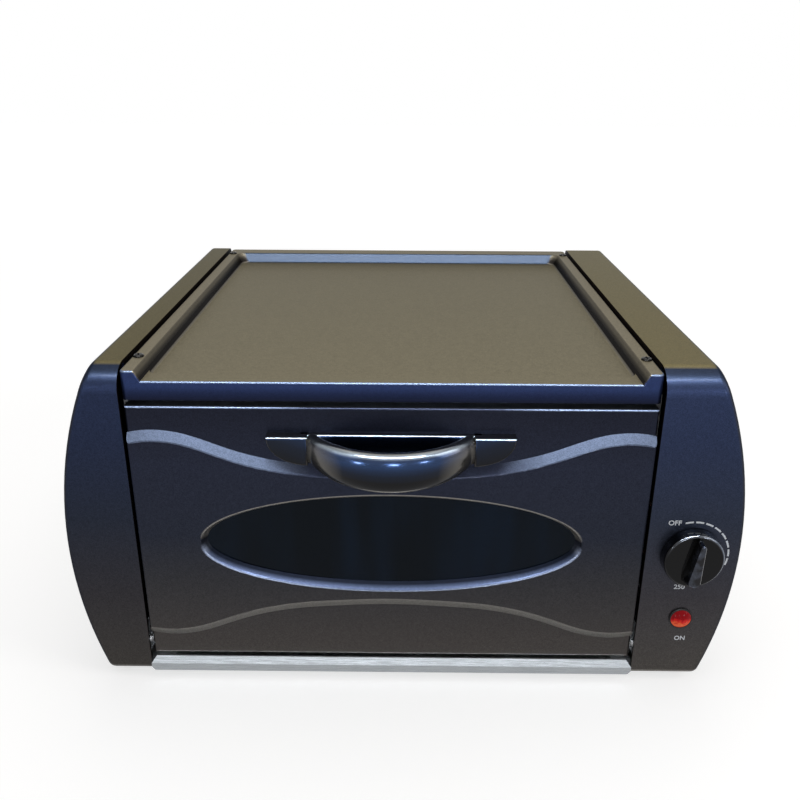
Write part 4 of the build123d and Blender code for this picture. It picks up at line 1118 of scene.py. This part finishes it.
@dataclass
class CrossScrew:
    """A pan-head screw with a cross recess, its head's underside at the origin and its head along +Z."""

    radius: float
    height: float
    shank_radius: float = 1.5 * MM
    shank: float = 8.0 * MM
    tip_share: float = 0.6
    sides: int = 28
    # Each step of the head, as shares of its radius and its height
    dome: tuple[Band, ...] = ((1.0, 0.45), (0.93, 0.28), (0.78, 0.17), (0.5, 0.1))
    slot_share: float = 0.62
    slot_width: float = 0.17
    slot_depth: float = 0.55
    top_slope: float = 0.3
    top_share: float = 0.6

    def shape(self) -> bmesh.types.BMesh:
        """Builds the screw.

        Returns:
            Its mesh.
        """
        mesh = bmesh.new()
        bmesh.ops.create_circle(mesh, cap_ends=True, segments=self.sides, radius=self.radius)
        top = mesh.faces[:]
        for share, rise in self.dome:
            top = self.raise_face(mesh, top, share, rise * self.height)
        self.cut_cross(mesh)
        self.add_shank(mesh)
        return mesh

    def raise_face(self, mesh: bmesh.types.BMesh, faces: list, share: float, rise: float) -> list:
        """Extrudes the top face up and draws it in.

        Args:
            mesh: The screw's mesh.
            faces: The face on top.
            share: The radius that the new face has, as a share of the head's.
            rise: How far it goes up.

        Returns:
            The new top face.
        """
        verts, top = extruded(mesh, faces)
        bmesh.ops.translate(mesh, verts=verts, vec=(0.0, 0.0, rise))
        wide = max(v.co.xy.length for v in verts)
        factor = share * self.radius / wide
        bmesh.ops.scale(mesh, verts=verts, vec=(factor, factor, 1.0))
        bmesh.ops.delete(mesh, geom=[f for f in faces if f.is_valid], context="FACES_ONLY")
        return top

    def cut_cross(self, mesh: bmesh.types.BMesh) -> None:
        """Sinks the cross recess into the head's top.

        Args:
            mesh: The screw's mesh.
        """
        wide = self.slot_width * self.radius
        long = self.slot_share * self.radius
        for axis in (Vector((1, 0, 0)), Vector((0, 1, 0))):
            for offset in (-long, -wide, wide, long):
                geom = mesh.verts[:] + mesh.edges[:] + mesh.faces[:]
                bmesh.ops.bisect_plane(mesh, geom=geom, plane_co=axis * offset, plane_no=axis)
        inside = []
        for face in mesh.faces:
            middle = face.calc_center_median()
            x, y = abs(middle.x), abs(middle.y)
            upward = face.normal.z > self.top_slope or middle.z > self.top_share * self.height
            if upward and ((x < wide and y < long) or (y < wide and x < long)):
                inside.append(face)
        verts, _ = extruded(mesh, inside)
        bmesh.ops.delete(mesh, geom=[f for f in inside if f.is_valid], context="FACES_ONLY")
        floor = self.height * (1.0 - self.slot_depth)
        for vert in verts:
            vert.co.z = floor

    def add_shank(self, mesh: bmesh.types.BMesh) -> None:
        """Adds the shank under the head.

        Args:
            mesh: The screw's mesh.
        """
        rod = bmesh.ops.create_cone(
            mesh,
            cap_ends=True,
            segments=self.sides // 2,
            radius1=self.shank_radius * self.tip_share,
            radius2=self.shank_radius,
            depth=self.shank,
        )
        bmesh.ops.translate(mesh, verts=rod["verts"], vec=(0.0, 0.0, -self.shank / 2))


@dataclass
class ScrewSet:
    """One node's screws: where their heads sit and which way they stand out."""

    name: str
    node: str
    screw: CrossScrew
    outward: Outward
    seats: list[Triple]
    finish: Finish
    slot: str = "screw_steel"
    body: Body = Body.HOUSING
    first_turn: float = 17.0
    turn_step: float = 37.0

    def build(self) -> None:
        """Builds every screw of the set, each turned a little differently."""
        piece = Piece(self.name)
        shape = self.screw.shape()
        turn = facing(Vector(self.outward.value))
        for index, seat in enumerate(self.seats):
            angle = math.radians(self.first_turn + self.turn_step * index)
            spin = Matrix.Rotation(angle, 4, "Z")
            piece.add(shape, Matrix.Translation(place(*seat)) @ turn @ spin)
        shape.free()
        made = piece.finish(self.finish, self.slot)
        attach(made, self.body.value)
        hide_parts(self.node)


@dataclass
class BowedHandle:
    """The door's handle: a thin plate, two wings and a bowed grip with a full oval section."""

    plate_half: float = 62.0
    plate_low: float = 22.0
    plate_depth: float = 4.0
    wing_inner: float = 57.0
    wing_depth: float = 9.0
    wing_low: float = 21.5
    tip_low: float = 2.0
    wing_steps: int = 10
    edge: float = 1.7
    edge_steps: int = 4
    front_slack: float = 0.01
    grip_half: float = 55.0
    grip_root: float = 1.0
    thick: float = 6.5
    high: float = 14.25
    end_high: float = 10.2
    fullness: float = 0.86
    stations: int = 36
    sides: int = 32
    smooth: float = 0.75
    finish: Finish = GlossLacquer("handle_lacquer")

    def build(self) -> None:
        """Builds the handle against the door's skin, where its node is."""
        low, high = (Vector(corner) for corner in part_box("door_handle"))
        half = (high.x - low.x) / 2 / MM
        reach = (high.y - low.y) / MM
        piece = Piece("bowed_handle")
        plate = [(-self.plate_half, 0.0), (-self.plate_half, -self.plate_low)]
        plate += [(-x, z) for x, z in reversed(plate)]
        self.add_slab(piece, plate, self.plate_depth)
        for side in (-1.0, 1.0):
            wing = [(side * half, 0.0), *self.wing_curve(side, half), (side * self.wing_inner, 0.0)]
            self.add_slab(piece, wing, self.wing_depth)
        self.add_grip(piece.mesh, reach)
        middle = Vector(((low.x + high.x) / 2, high.y, high.z))
        lay = Matrix.Translation(middle) @ Matrix.Scale(MM, 4)
        bmesh.ops.transform(piece.mesh, matrix=lay, verts=piece.mesh.verts)
        made = piece.finish(self.finish, "handle_plastic", smooth=self.smooth)
        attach(made, Body.DOOR.value)
        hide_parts("door_handle")

    def wing_curve(self, side: float, half: float) -> list[Band]:
        """The lower edge of a wing: a quarter of an oval from its tip to the grip.

        Args:
            side: 1 for the right wing, -1 for the left.
            half: How far the tip is from the middle.

        Returns:
            Its points as X and Z.
        """
        span = half - self.wing_inner
        drop = self.wing_low - self.tip_low
        angles = [0.5 * math.pi * step / self.wing_steps for step in range(self.wing_steps + 1)]
        return [
            (side * (self.wing_inner + span * math.cos(a)), -self.tip_low - drop * math.sin(a))
            for a in angles
        ]

    def add_slab(self, piece: Piece, outline: Sequence[Band], depth: float) -> None:
        """Adds a flat block with a rounded front edge.

        Args:
            piece: The piece that it goes into.
            outline: Its corners as X and Z, in millimetres.
            depth: How far it stands out.
        """
        slab = bmesh.new()
        face = slab.faces.new([slab.verts.new((x, 0.0, z)) for x, z in outline])
        front, _ = extruded(slab, [face], keep=True)
        bmesh.ops.translate(slab, verts=front, vec=(0.0, -depth, 0.0))
        limit = self.front_slack - depth
        bmesh.ops.bevel(
            slab,
            geom=[edge for edge in slab.edges if all(v.co.y < limit for v in edge.verts)],
            offset=self.edge,
            offset_type="OFFSET",
            affect="EDGES",
            segments=self.edge_steps,
            profile=0.5,
            material=-1,
            clamp_overlap=True,
        )
        piece.add(slab)
        slab.free()

    def add_grip(self, mesh: bmesh.types.BMesh, reach: float) -> None:
        """Bridges oval rings along the bow.

        Args:
            mesh: The mesh it goes into.
            reach: How far the grip stands out from the door.
        """
        sag = reach - self.thick - self.grip_root
        radius = (self.grip_half**2 + sag**2) / (2 * sag)
        swing = math.asin(self.grip_half / radius)
        rings = []
        for index in range(self.stations + 1):
            share = 2 * index / self.stations - 1
            angle = share * swing
            outward = Vector((math.sin(angle), -math.cos(angle), 0.0))
            tall = self.end_high + (self.high - self.end_high) * (1 - share**2)
            centre = outward * radius + Vector((0.0, radius - sag - self.grip_root, -tall))
            ring = bmesh.ops.create_circle(mesh, segments=self.sides, radius=1.0)["verts"]
            for vert in ring:
                vert.co = Vector([math.copysign(abs(c) ** self.fullness, c) for c in vert.co.xy] + [0.0])
            across = outward * self.thick
            up = Vector((0.0, 0.0, tall))
            turn = Matrix((across, up, across.cross(up).normalized())).transposed().to_4x4()
            bmesh.ops.transform(mesh, matrix=Matrix.Translation(centre) @ turn, verts=ring)
            rings.append(list({edge for vert in ring for edge in vert.link_edges}))
        for first, second in zip(rings, rings[1:]):
            bmesh.ops.bridge_loops(mesh, edges=first + second)
        for ring in (rings[0], rings[-1]):
            bmesh.ops.holes_fill(mesh, edges=ring, sides=self.sides)


@dataclass(frozen=True)
class Word:
    """A printed word, with its middle and its letters' height in millimetres."""

    name: str
    text: str
    x: float
    z: float
    size: float


@dataclass
class DialPrint:
    """The marks printed on the control panel about the knob and under the lamp."""

    knob_x: float = 216.3
    knob_z: float = 107.0
    plane_y: float = -3.0
    ring: float = 26.85
    stroke: float = 1.3
    dash: float = 12.4
    dash_steps: int = 8
    pitch: float = 15.8
    first: float = -15.2
    count: int = 8
    ink: float = 0.05
    fatten: float = 0.09
    words: tuple[Word, ...] = (
        Word("dial_off", "OFF", 201.8, 133.0, 5.4),
        Word("dial_top_heat", "250", 211.6, 79.4, 5.4),
        Word("lamp_on", "ON", 217.6, 33.8, 5.2),
    )
    finish: Finish = PrintedInk("dial_ink")

    def build(self) -> None:
        """Builds the dashes and the words."""
        dashes = Piece("dial_dashes")
        for index in range(self.count):
            self.add_dash(dashes, self.first + index * self.pitch)
        made = dashes.finish(self.finish, "cover_paint")
        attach(made, Body.HOUSING.value)
        for word in self.words:
            self.add_word(word)

    def add_dash(self, piece: Piece, start: float) -> None:
        """Adds one curved dash.

        Args:
            piece: The piece that it goes into.
            start: Where it starts, in degrees clockwise from the top.
        """
        angle = math.radians(start)
        out = Vector((math.sin(angle), 0.0, math.cos(angle)))
        centre = place(self.knob_x, self.plane_y, self.knob_z)
        half = 0.5 * self.stroke * MM
        dash = bmesh.new()
        dash.edges.new([dash.verts.new(centre + out * (self.ring * MM + side * half)) for side in (-1, 1)])
        bmesh.ops.spin(
            dash,
            geom=dash.verts[:] + dash.edges[:],
            cent=centre,
            axis=(0.0, 1.0, 0.0),
            angle=math.radians(self.dash),
            steps=self.dash_steps,
        )
        front, _ = extruded(dash, dash.faces[:])
        bmesh.ops.translate(dash, verts=front, vec=(0.0, -self.ink * MM, 0.0))
        piece.add(dash)
        dash.free()

    def add_word(self, word: Word) -> None:
        """Adds a printed word or number.

        Args:
            word: What it says and where.
        """
        curve = bpy.data.curves.new(word.name + "_text", "FONT")
        curve.body = word.text
        curve.align_x = "CENTER"
        curve.align_y = "CENTER"
        curve.size = word.size * MM
        curve.extrude = 0.5 * self.ink * MM
        curve.offset = self.fatten * MM
        holder = bpy.data.objects.new(word.name + "_holder", curve)
        bpy.context.scene.collection.objects.link(holder)
        graph = bpy.context.evaluated_depsgraph_get()
        flat = bpy.data.meshes.new_from_object(holder.evaluated_get(graph))
        bpy.data.objects.remove(holder)
        stand = Matrix.Rotation(math.radians(90.0), 4, "X")
        flat.transform(Matrix.Translation(place(word.x, self.plane_y - 0.5 * self.ink, word.z)) @ stand)
        piece = Piece(word.name)
        piece.mesh.from_mesh(flat)
        bpy.data.meshes.remove(flat)
        made = piece.finish(self.finish, "cover_paint")
        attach(made, Body.HOUSING.value)


@dataclass
class DoorSprings:
    """The two extension springs between the door's stays and the cavity walls, wound from real wire."""

    side_x: float = 178.3
    hook: Band = (68.92, 18.8)
    tab: Band = (153.6, 9.0)
    radius: float = 2.7
    wire: float = 0.5
    slack: float = 1.04
    lead: float = 17.0
    eye: float = 1.6
    sides: int = 6
    steps: int = 10
    eye_steps: int = 14
    smooth: float = 1.2
    finish: Finish = PlatedWire("spring_wire", (0.62, 0.62, 0.63), 0.2)

    def build(self) -> None:
        """Builds both springs, laid straight between the housing and the door."""
        for name, side in (("left_spring", -1.0), ("right_spring", 1.0)):
            start = place(side * self.side_x, *self.tab)
            end = place(side * self.side_x, *self.hook)
            piece = Piece(name)
            self.wind(piece, start, end)
            made = piece.finish(self.finish, "bright_steel", smooth=self.smooth)
            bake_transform(made)
            # One of the two is enough, as both springs are one node
            if side < 0:
                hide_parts("door_springs")

    def wind(self, piece: Piece, start: Vector, end: Vector) -> None:
        """Winds the coil and its two hooked leads along +Z and lays them in place.

        Args:
            piece: The piece that they go into.
            start: The tab's end.
            end: The stay's end.
        """
        length = (end - start).length / MM
        turns = round((length - 2 * self.lead) / (2 * self.wire * self.slack))
        coil = bmesh.new()
        ring = bmesh.ops.create_circle(coil, segments=self.sides, radius=self.wire * MM)
        across = Matrix.Rotation(math.pi / 2, 4, "X")
        lie = Matrix.Translation((self.radius * MM, 0.0, self.lead * MM)) @ across
        bmesh.ops.transform(coil, matrix=lie, verts=ring["verts"])
        steps = turns * self.steps
        rise = (length - 2 * self.lead) / steps
        bmesh.ops.spin(
            coil,
            geom=coil.verts[:] + coil.edges[:],
            cent=(0.0, 0.0, 0.0),
            axis=(0.0, 0.0, 1.0),
            dvec=(0.0, 0.0, rise * MM),
            angle=2 * math.pi * turns,
            steps=steps,
        )
        for low, flip in ((0.0, 1.0), (length, -1.0)):
            self.add_lead(coil, low, flip)
        open_edges = [edge for edge in coil.edges if len(edge.link_faces) == 1]
        bmesh.ops.holes_fill(coil, edges=open_edges, sides=self.sides)
        piece.add(coil, Matrix.Translation(start) @ facing(end - start))
        coil.free()

    def add_lead(self, coil: bmesh.types.BMesh, low: float, flip: float) -> None:
        """Adds a straight lead that ends in an eye.

        Args:
            coil: The mesh it goes into.
            low: Where its eye is along the spring, in millimetres.
            flip: 1 for a lead that runs up from there, -1 for one that runs down.
        """
        straight = bmesh.ops.create_cone(
            coil,
            cap_ends=True,
            segments=self.sides,
            radius1=self.wire * MM,
            radius2=self.wire * MM,
            depth=(self.lead - self.eye) * MM,
        )
        middle = low + flip * (self.lead + self.eye) / 2
        bmesh.ops.translate(coil, verts=straight["verts"], vec=(0.0, 0.0, middle * MM))
        ring = bmesh.ops.create_circle(coil, segments=self.sides, radius=self.wire * MM)
        bmesh.ops.translate(coil, verts=ring["verts"], vec=(self.eye * MM, 0.0, low * MM))
        edges = {e for v in ring["verts"] for e in v.link_edges}
        bmesh.ops.spin(
            coil,
            geom=[*ring["verts"], *edges],
            cent=(0.0, 0.0, low * MM),
            axis=(0.0, 1.0, 0.0),
            angle=2 * math.pi,
            steps=self.eye_steps,
            use_merge=True,
        )


@dataclass(frozen=True)
class SoftBox:
    """An area lamp, with its place, its aim, its width and height in metres and its power in watts."""

    name: str
    spot: Triple
    aim: Triple
    size: Band
    power: float
    colour: Colour
    gloss_only: bool = False

    def build(self) -> None:
        """Hangs the lamp."""
        light = bpy.data.lights.new(self.name, "AREA")
        light.shape = "RECTANGLE"
        light.size, light.size_y = self.size
        light.energy = self.power
        light.color = self.colour
        lamp = bpy.data.objects.new(self.name, light)
        lamp.location = self.spot
        lamp.rotation_euler = (Vector(self.aim) - Vector(self.spot)).to_track_quat("-Z", "Y").to_euler()
        lamp.visible_diffuse = not self.gloss_only
        bpy.context.scene.collection.objects.link(lamp)
        log.info("%s: %.0f W", self.name, self.power)


@dataclass
class Studio:
    """The floor, the soft lamps, the plain surroundings and the camera."""

    floor_half: float = 6.0
    floor_glow: Band = (0.63, 0.82)
    floor_reach: Band = (0.6, 2.6)
    floor_colour: Colour = (0.5, 0.5, 0.5)
    eye: Triple = (0.00109, -0.70126, 0.44082)
    yaw: float = -0.43
    pitch: float = 21.94
    roll: float = 0.27
    lens: float = 37.56
    sky: float = 0.42
    # X and Z of the panes, which stand in a row at one Y
    pane_places: tuple[Band, ...] = ((-1.5, 0.40), (0.1, 0.46), (1.5, 0.60))
    pane_y: float = -2.2

    def build(self) -> None:
        """Builds the studio around the oven."""
        self.add_floor()
        self.add_world()
        for lamp in self.lamps():
            lamp.build()
        self.add_camera()
        bpy.context.scene.view_settings.view_transform = "Standard"

    def lamps(self) -> list[SoftBox]:
        """Lists the lamps.

        Returns:
            Three boxes that light the oven, and a tube and three panes that its gloss alone shows.
        """
        boxes = [
            SoftBox("top_box", (0.0, 0.25, 1.5), (0.0, 0.0, 0.1), (1.5, 1.1), 9.0, (1.0, 0.97, 0.92)),
            SoftBox("left_box", (-1.5, -1.1, 1.2), (0.0, -0.1, 0.1), (1.0, 1.0), 3.0, (0.93, 0.96, 1.0)),
            SoftBox("right_box", (1.5, -0.7, 1.0), (0.0, 0.0, 0.1), (0.8, 1.1), 9.0, (1.0, 0.98, 0.95)),
            SoftBox("front_tube", (0.0, -0.78, 1.28), (0.0, -0.2, 0.2), (1.3, 0.12), 50.0, COOL, True),
        ]
        for number, (x, z) in enumerate(self.pane_places):
            name = f"far_pane_{number}"
            spot = (x, self.pane_y, z)
            boxes.append(SoftBox(name, spot, (0.0, -0.2, 0.17), (0.32, 0.2), 8.0, COOL, True))
        return boxes

    @staticmethod
    def backdrop_rays(tree: bpy.types.NodeTree) -> Socket:
        """Marks the rays that see the background itself: from the camera, in gloss and through glass.

        Args:
            tree: The floor's or the world's nodes.

        Returns:
            1 for such a ray and 0 for the others.
        """
        path = tree.nodes.new("ShaderNodeLightPath")
        seen = path.outputs["Is Camera Ray"]
        for kind in ("Is Glossy Ray", "Is Transmission Ray"):
            either = tree.nodes.new("ShaderNodeMath")
            either.operation = "MAXIMUM"
            tree.links.new(seen, either.inputs[0])
            tree.links.new(path.outputs[kind], either.inputs[1])
            seen = either.outputs[0]
        return seen

    def add_floor(self) -> None:
        """Lays a pale floor that keeps the oven's shadow."""
        mesh = bmesh.new()
        bmesh.ops.create_grid(mesh, x_segments=1, y_segments=1, size=self.floor_half)
        data = bpy.data.meshes.new("floor")
        mesh.to_mesh(data)
        mesh.free()
        recipe = Recipe("floor_white")
        recipe.paint({"Base Color": self.floor_colour, "Roughness": 0.9, "Specular IOR Level": 0.0})
        distance = recipe.tree.nodes.new("ShaderNodeVectorMath")
        distance.operation = "LENGTH"
        recipe.feed(distance.inputs[0], recipe.place)
        glow = recipe.spread(distance.outputs["Value"], *self.floor_reach, *self.floor_glow)
        lift = recipe.combine(Sum.MULTIPLY, self.backdrop_rays(recipe.tree), glow)
        recipe.paint({"Emission Color": (1.0, 1.0, 1.0), "Emission Strength": lift})
        data.materials.append(recipe.material)
        floor = bpy.data.objects.new("floor", data)
        bpy.context.scene.collection.objects.link(floor)

    def add_world(self) -> None:
        """Sets plain surroundings: white to the camera and in reflections, softer as light."""
        world = bpy.data.worlds.new("surroundings")
        bpy.context.scene.world = world
        world.use_nodes = True
        tree = world.node_tree
        back = next(n for n in tree.nodes if n.type == "BACKGROUND")
        level = tree.nodes.new("ShaderNodeMapRange")
        level.inputs["To Min"].default_value = self.sky
        level.inputs["To Max"].default_value = 1.0
        tree.links.new(self.backdrop_rays(tree), level.inputs["Value"])
        back.inputs["Color"].default_value = (1.0, 1.0, 1.0, 1.0)
        tree.links.new(level.outputs["Result"], back.inputs["Strength"])

    def add_camera(self) -> None:
        """Sets up the camera where the photograph was taken from."""
        yaw, pitch, roll = (math.radians(a) for a in (self.yaw, self.pitch, self.roll))
        ahead = Vector(
            (
                math.sin(yaw) * math.cos(pitch),
                math.cos(yaw) * math.cos(pitch),
                -math.sin(pitch),
            )
        )
        right = Vector((math.cos(yaw), -math.sin(yaw), 0.0))
        up = right.cross(ahead)
        across = right * math.cos(roll) + up * math.sin(roll)
        over = up * math.cos(roll) - right * math.sin(roll)
        turn = Matrix((across, over, -ahead)).transposed().to_4x4()
        data = bpy.data.cameras.new("camera")
        data.lens = self.lens
        data.sensor_width = 36.0
        data.clip_start = 0.01
        camera = bpy.data.objects.new("camera", data)
        camera.matrix_world = Matrix.Translation(Vector(self.eye)) @ turn
        bpy.context.scene.collection.objects.link(camera)
        bpy.context.scene.camera = camera


# The door's paint, with painted highlights and painted reflections by height and facing
PAINT = PaintWithPaintedLight("door_paint_with_painted_light")
# The covers' paint, with painted shade, painted highlights and painted reflections by height and facing
COVER = CoverPaint("cover_paint_with_painted_light")
GRIDDLE = GriddleCoat("griddle_coat")
ZINC = SpangledZinc("zinc_sheet")
LIP = BrushedMetal("lip_steel_brushed", (0.38, 0.40, 0.42), (0.32, 0.34, 0.355), 0.24)
BRIGHT = PlatedWire("bright_zinc", (0.62, 0.62, 0.63), 0.24)
SCREW = PlatedWire("zinc_screw", (0.55, 0.55, 0.56), 0.28)
DARK_SCREW = BrushedMetal("black_screw", (0.012, 0.011, 0.010), (0.005, 0.005, 0.005), 0.2)
CHROME = PlatedWire("rack_chrome_plate")
SHEATH = HeatedSheath("element_steel")
CERAMIC = RawCeramic("white_ceramic")
GLASS = SmokedGlass("smoked_glass")
KNOB_BLACK = KnobLacquer("knob_lacquer")
MATT_BLACK = MouldedPlastic("matt_black", (0.008, 0.008, 0.008), (0.014, 0.014, 0.014), 0.5, 0.2)
SWITCH_GREY = MouldedPlastic("switch_grey", (0.09, 0.09, 0.09), (0.12, 0.12, 0.12), 0.55)
LENS = LampLens("red_lens")
RUBBER = SoftRubber("foot_rubber_black")
SLEEVE = WovenSleeve("wire_sleeve")


def dressings() -> list[Dressing]:
    """The finish of every CAD node that keeps its mesh.

    Returns:
        One dressing for each sub-assembly's finish.
    """
    return [
        Dressing("covers", COVER, ("left_side_cover", "right_side_cover")),
        Dressing("door", PAINT, ("door_skin",)),
        Dressing("griddle", GRIDDLE, ("griddle_plate",)),
        Dressing(
            "chassis",
            ZINC,
            (
                "base_plate",
                "back_panel",
                "left_cavity_wall",
                "right_cavity_wall",
                "cavity_back_wall",
                "front_top_rail",
                "front_bottom_rail",
                "door_inner_panel",
                "crumb_tray",
                "hinge_plates",
                "lower_element_brackets",
                "left_rack_runner",
                "right_rack_runner",
                "upper_element_clamps",
            ),
        ),
        Dressing("tray lip", LIP, ("crumb_tray_lip",)),
        Dressing("rack", CHROME, ("wire_rack",)),
        Dressing("elements", SHEATH, ("upper_heating_element", "lower_heating_element")),
        Dressing("insulators", CERAMIC, ("element_insulators",)),
        Dressing("window", GLASS, ("window_glass",)),
        Dressing("knob", KNOB_BLACK, ("control_knob",)),
        Dressing("lamp lens", LENS, ("indicator_lens",)),
        Dressing("small mouldings", MATT_BLACK, ("lamp_bezel", "lamp_nut", "terminal_block", "cord_gland")),
        Dressing("switch", SWITCH_GREY, ("thermostat_body",)),
        Dressing(
            "hinge and stays",
            BRIGHT,
            (
                "thermostat_shaft",
                "hinge_pins",
                "stay_rivets",
                "left_door_stay",
                "right_door_stay",
                "hinge_bushes",
            ),
        ),
        Dressing("countersunk screws", SCREW, ("thermostat_screws", "handle_screws")),
        Dressing("wires", SLEEVE, ("internal_wiring",)),
        Dressing("feet", RUBBER, ("rubber_feet",)),
    ]


def grid(x: Sequence[float], y: Sequence[float], z: Sequence[float]) -> list[Triple]:
    """Every place on a grid, in millimetres as place() takes them."""
    return list(itertools.product(x, y, z))


def screw_sets() -> list[ScrewSet]:
    """The screws that get detailed heads.

    Returns:
        One set for each node of screws.
    """
    small = CrossScrew(3.0 * MM, 1.6 * MM)
    rail = CrossScrew(3.75 * MM, 1.6 * MM, shank=20.0 * MM)
    return [
        ScrewSet(
            "griddle_screw_heads",
            "griddle_screws",
            rail,
            Outward.UP,
            grid(x=(-177.7, 177.7), y=(30.5, 372.0), z=(243.9,)),
            DARK_SCREW,
            slot="griddle_screw_steel",
        ),
        ScrewSet(
            "back_screw_heads",
            "back_panel_screws",
            small,
            Outward.BACK,
            grid(x=(-178.0, 178.0), y=(393.0,), z=(30.0, 111.0, 192.0)),
            SCREW,
        ),
        ScrewSet(
            "foot_screw_heads",
            "foot_screws",
            small,
            Outward.DOWN,
            grid(x=(-188.0, 188.0), y=(58.0, 332.0), z=(-2.5,)),
            SCREW,
        ),
        ScrewSet(
            "base_screw_heads",
            "base_screws",
            small,
            Outward.DOWN,
            grid(x=(-193.38, 210.88), y=(40.0, 198.5, 357.0), z=(0.0,)),
            SCREW,
        ),
        ScrewSet(
            "door_panel_screw_heads",
            "door_panel_screws",
            small,
            Outward.BACK,
            grid(x=(-160.0, 160.0), y=(14.0,), z=(22.0, 212.0)),
            SCREW,
            body=Body.DOOR,
        ),
    ]


def main() -> None:
    """Builds the oven's looks and its studio, one class at a time."""
    logging.basicConfig(level=logging.INFO, format="%(name)s %(message)s")
    for dressing in dressings():
        dressing.build()
    for screws in screw_sets():
        screws.build()
    BowedHandle().build()
    DialPrint().build()
    DoorSprings().build()
    Studio().build()
    log.info("sizes written")


if __name__ == "__main__":
    main()
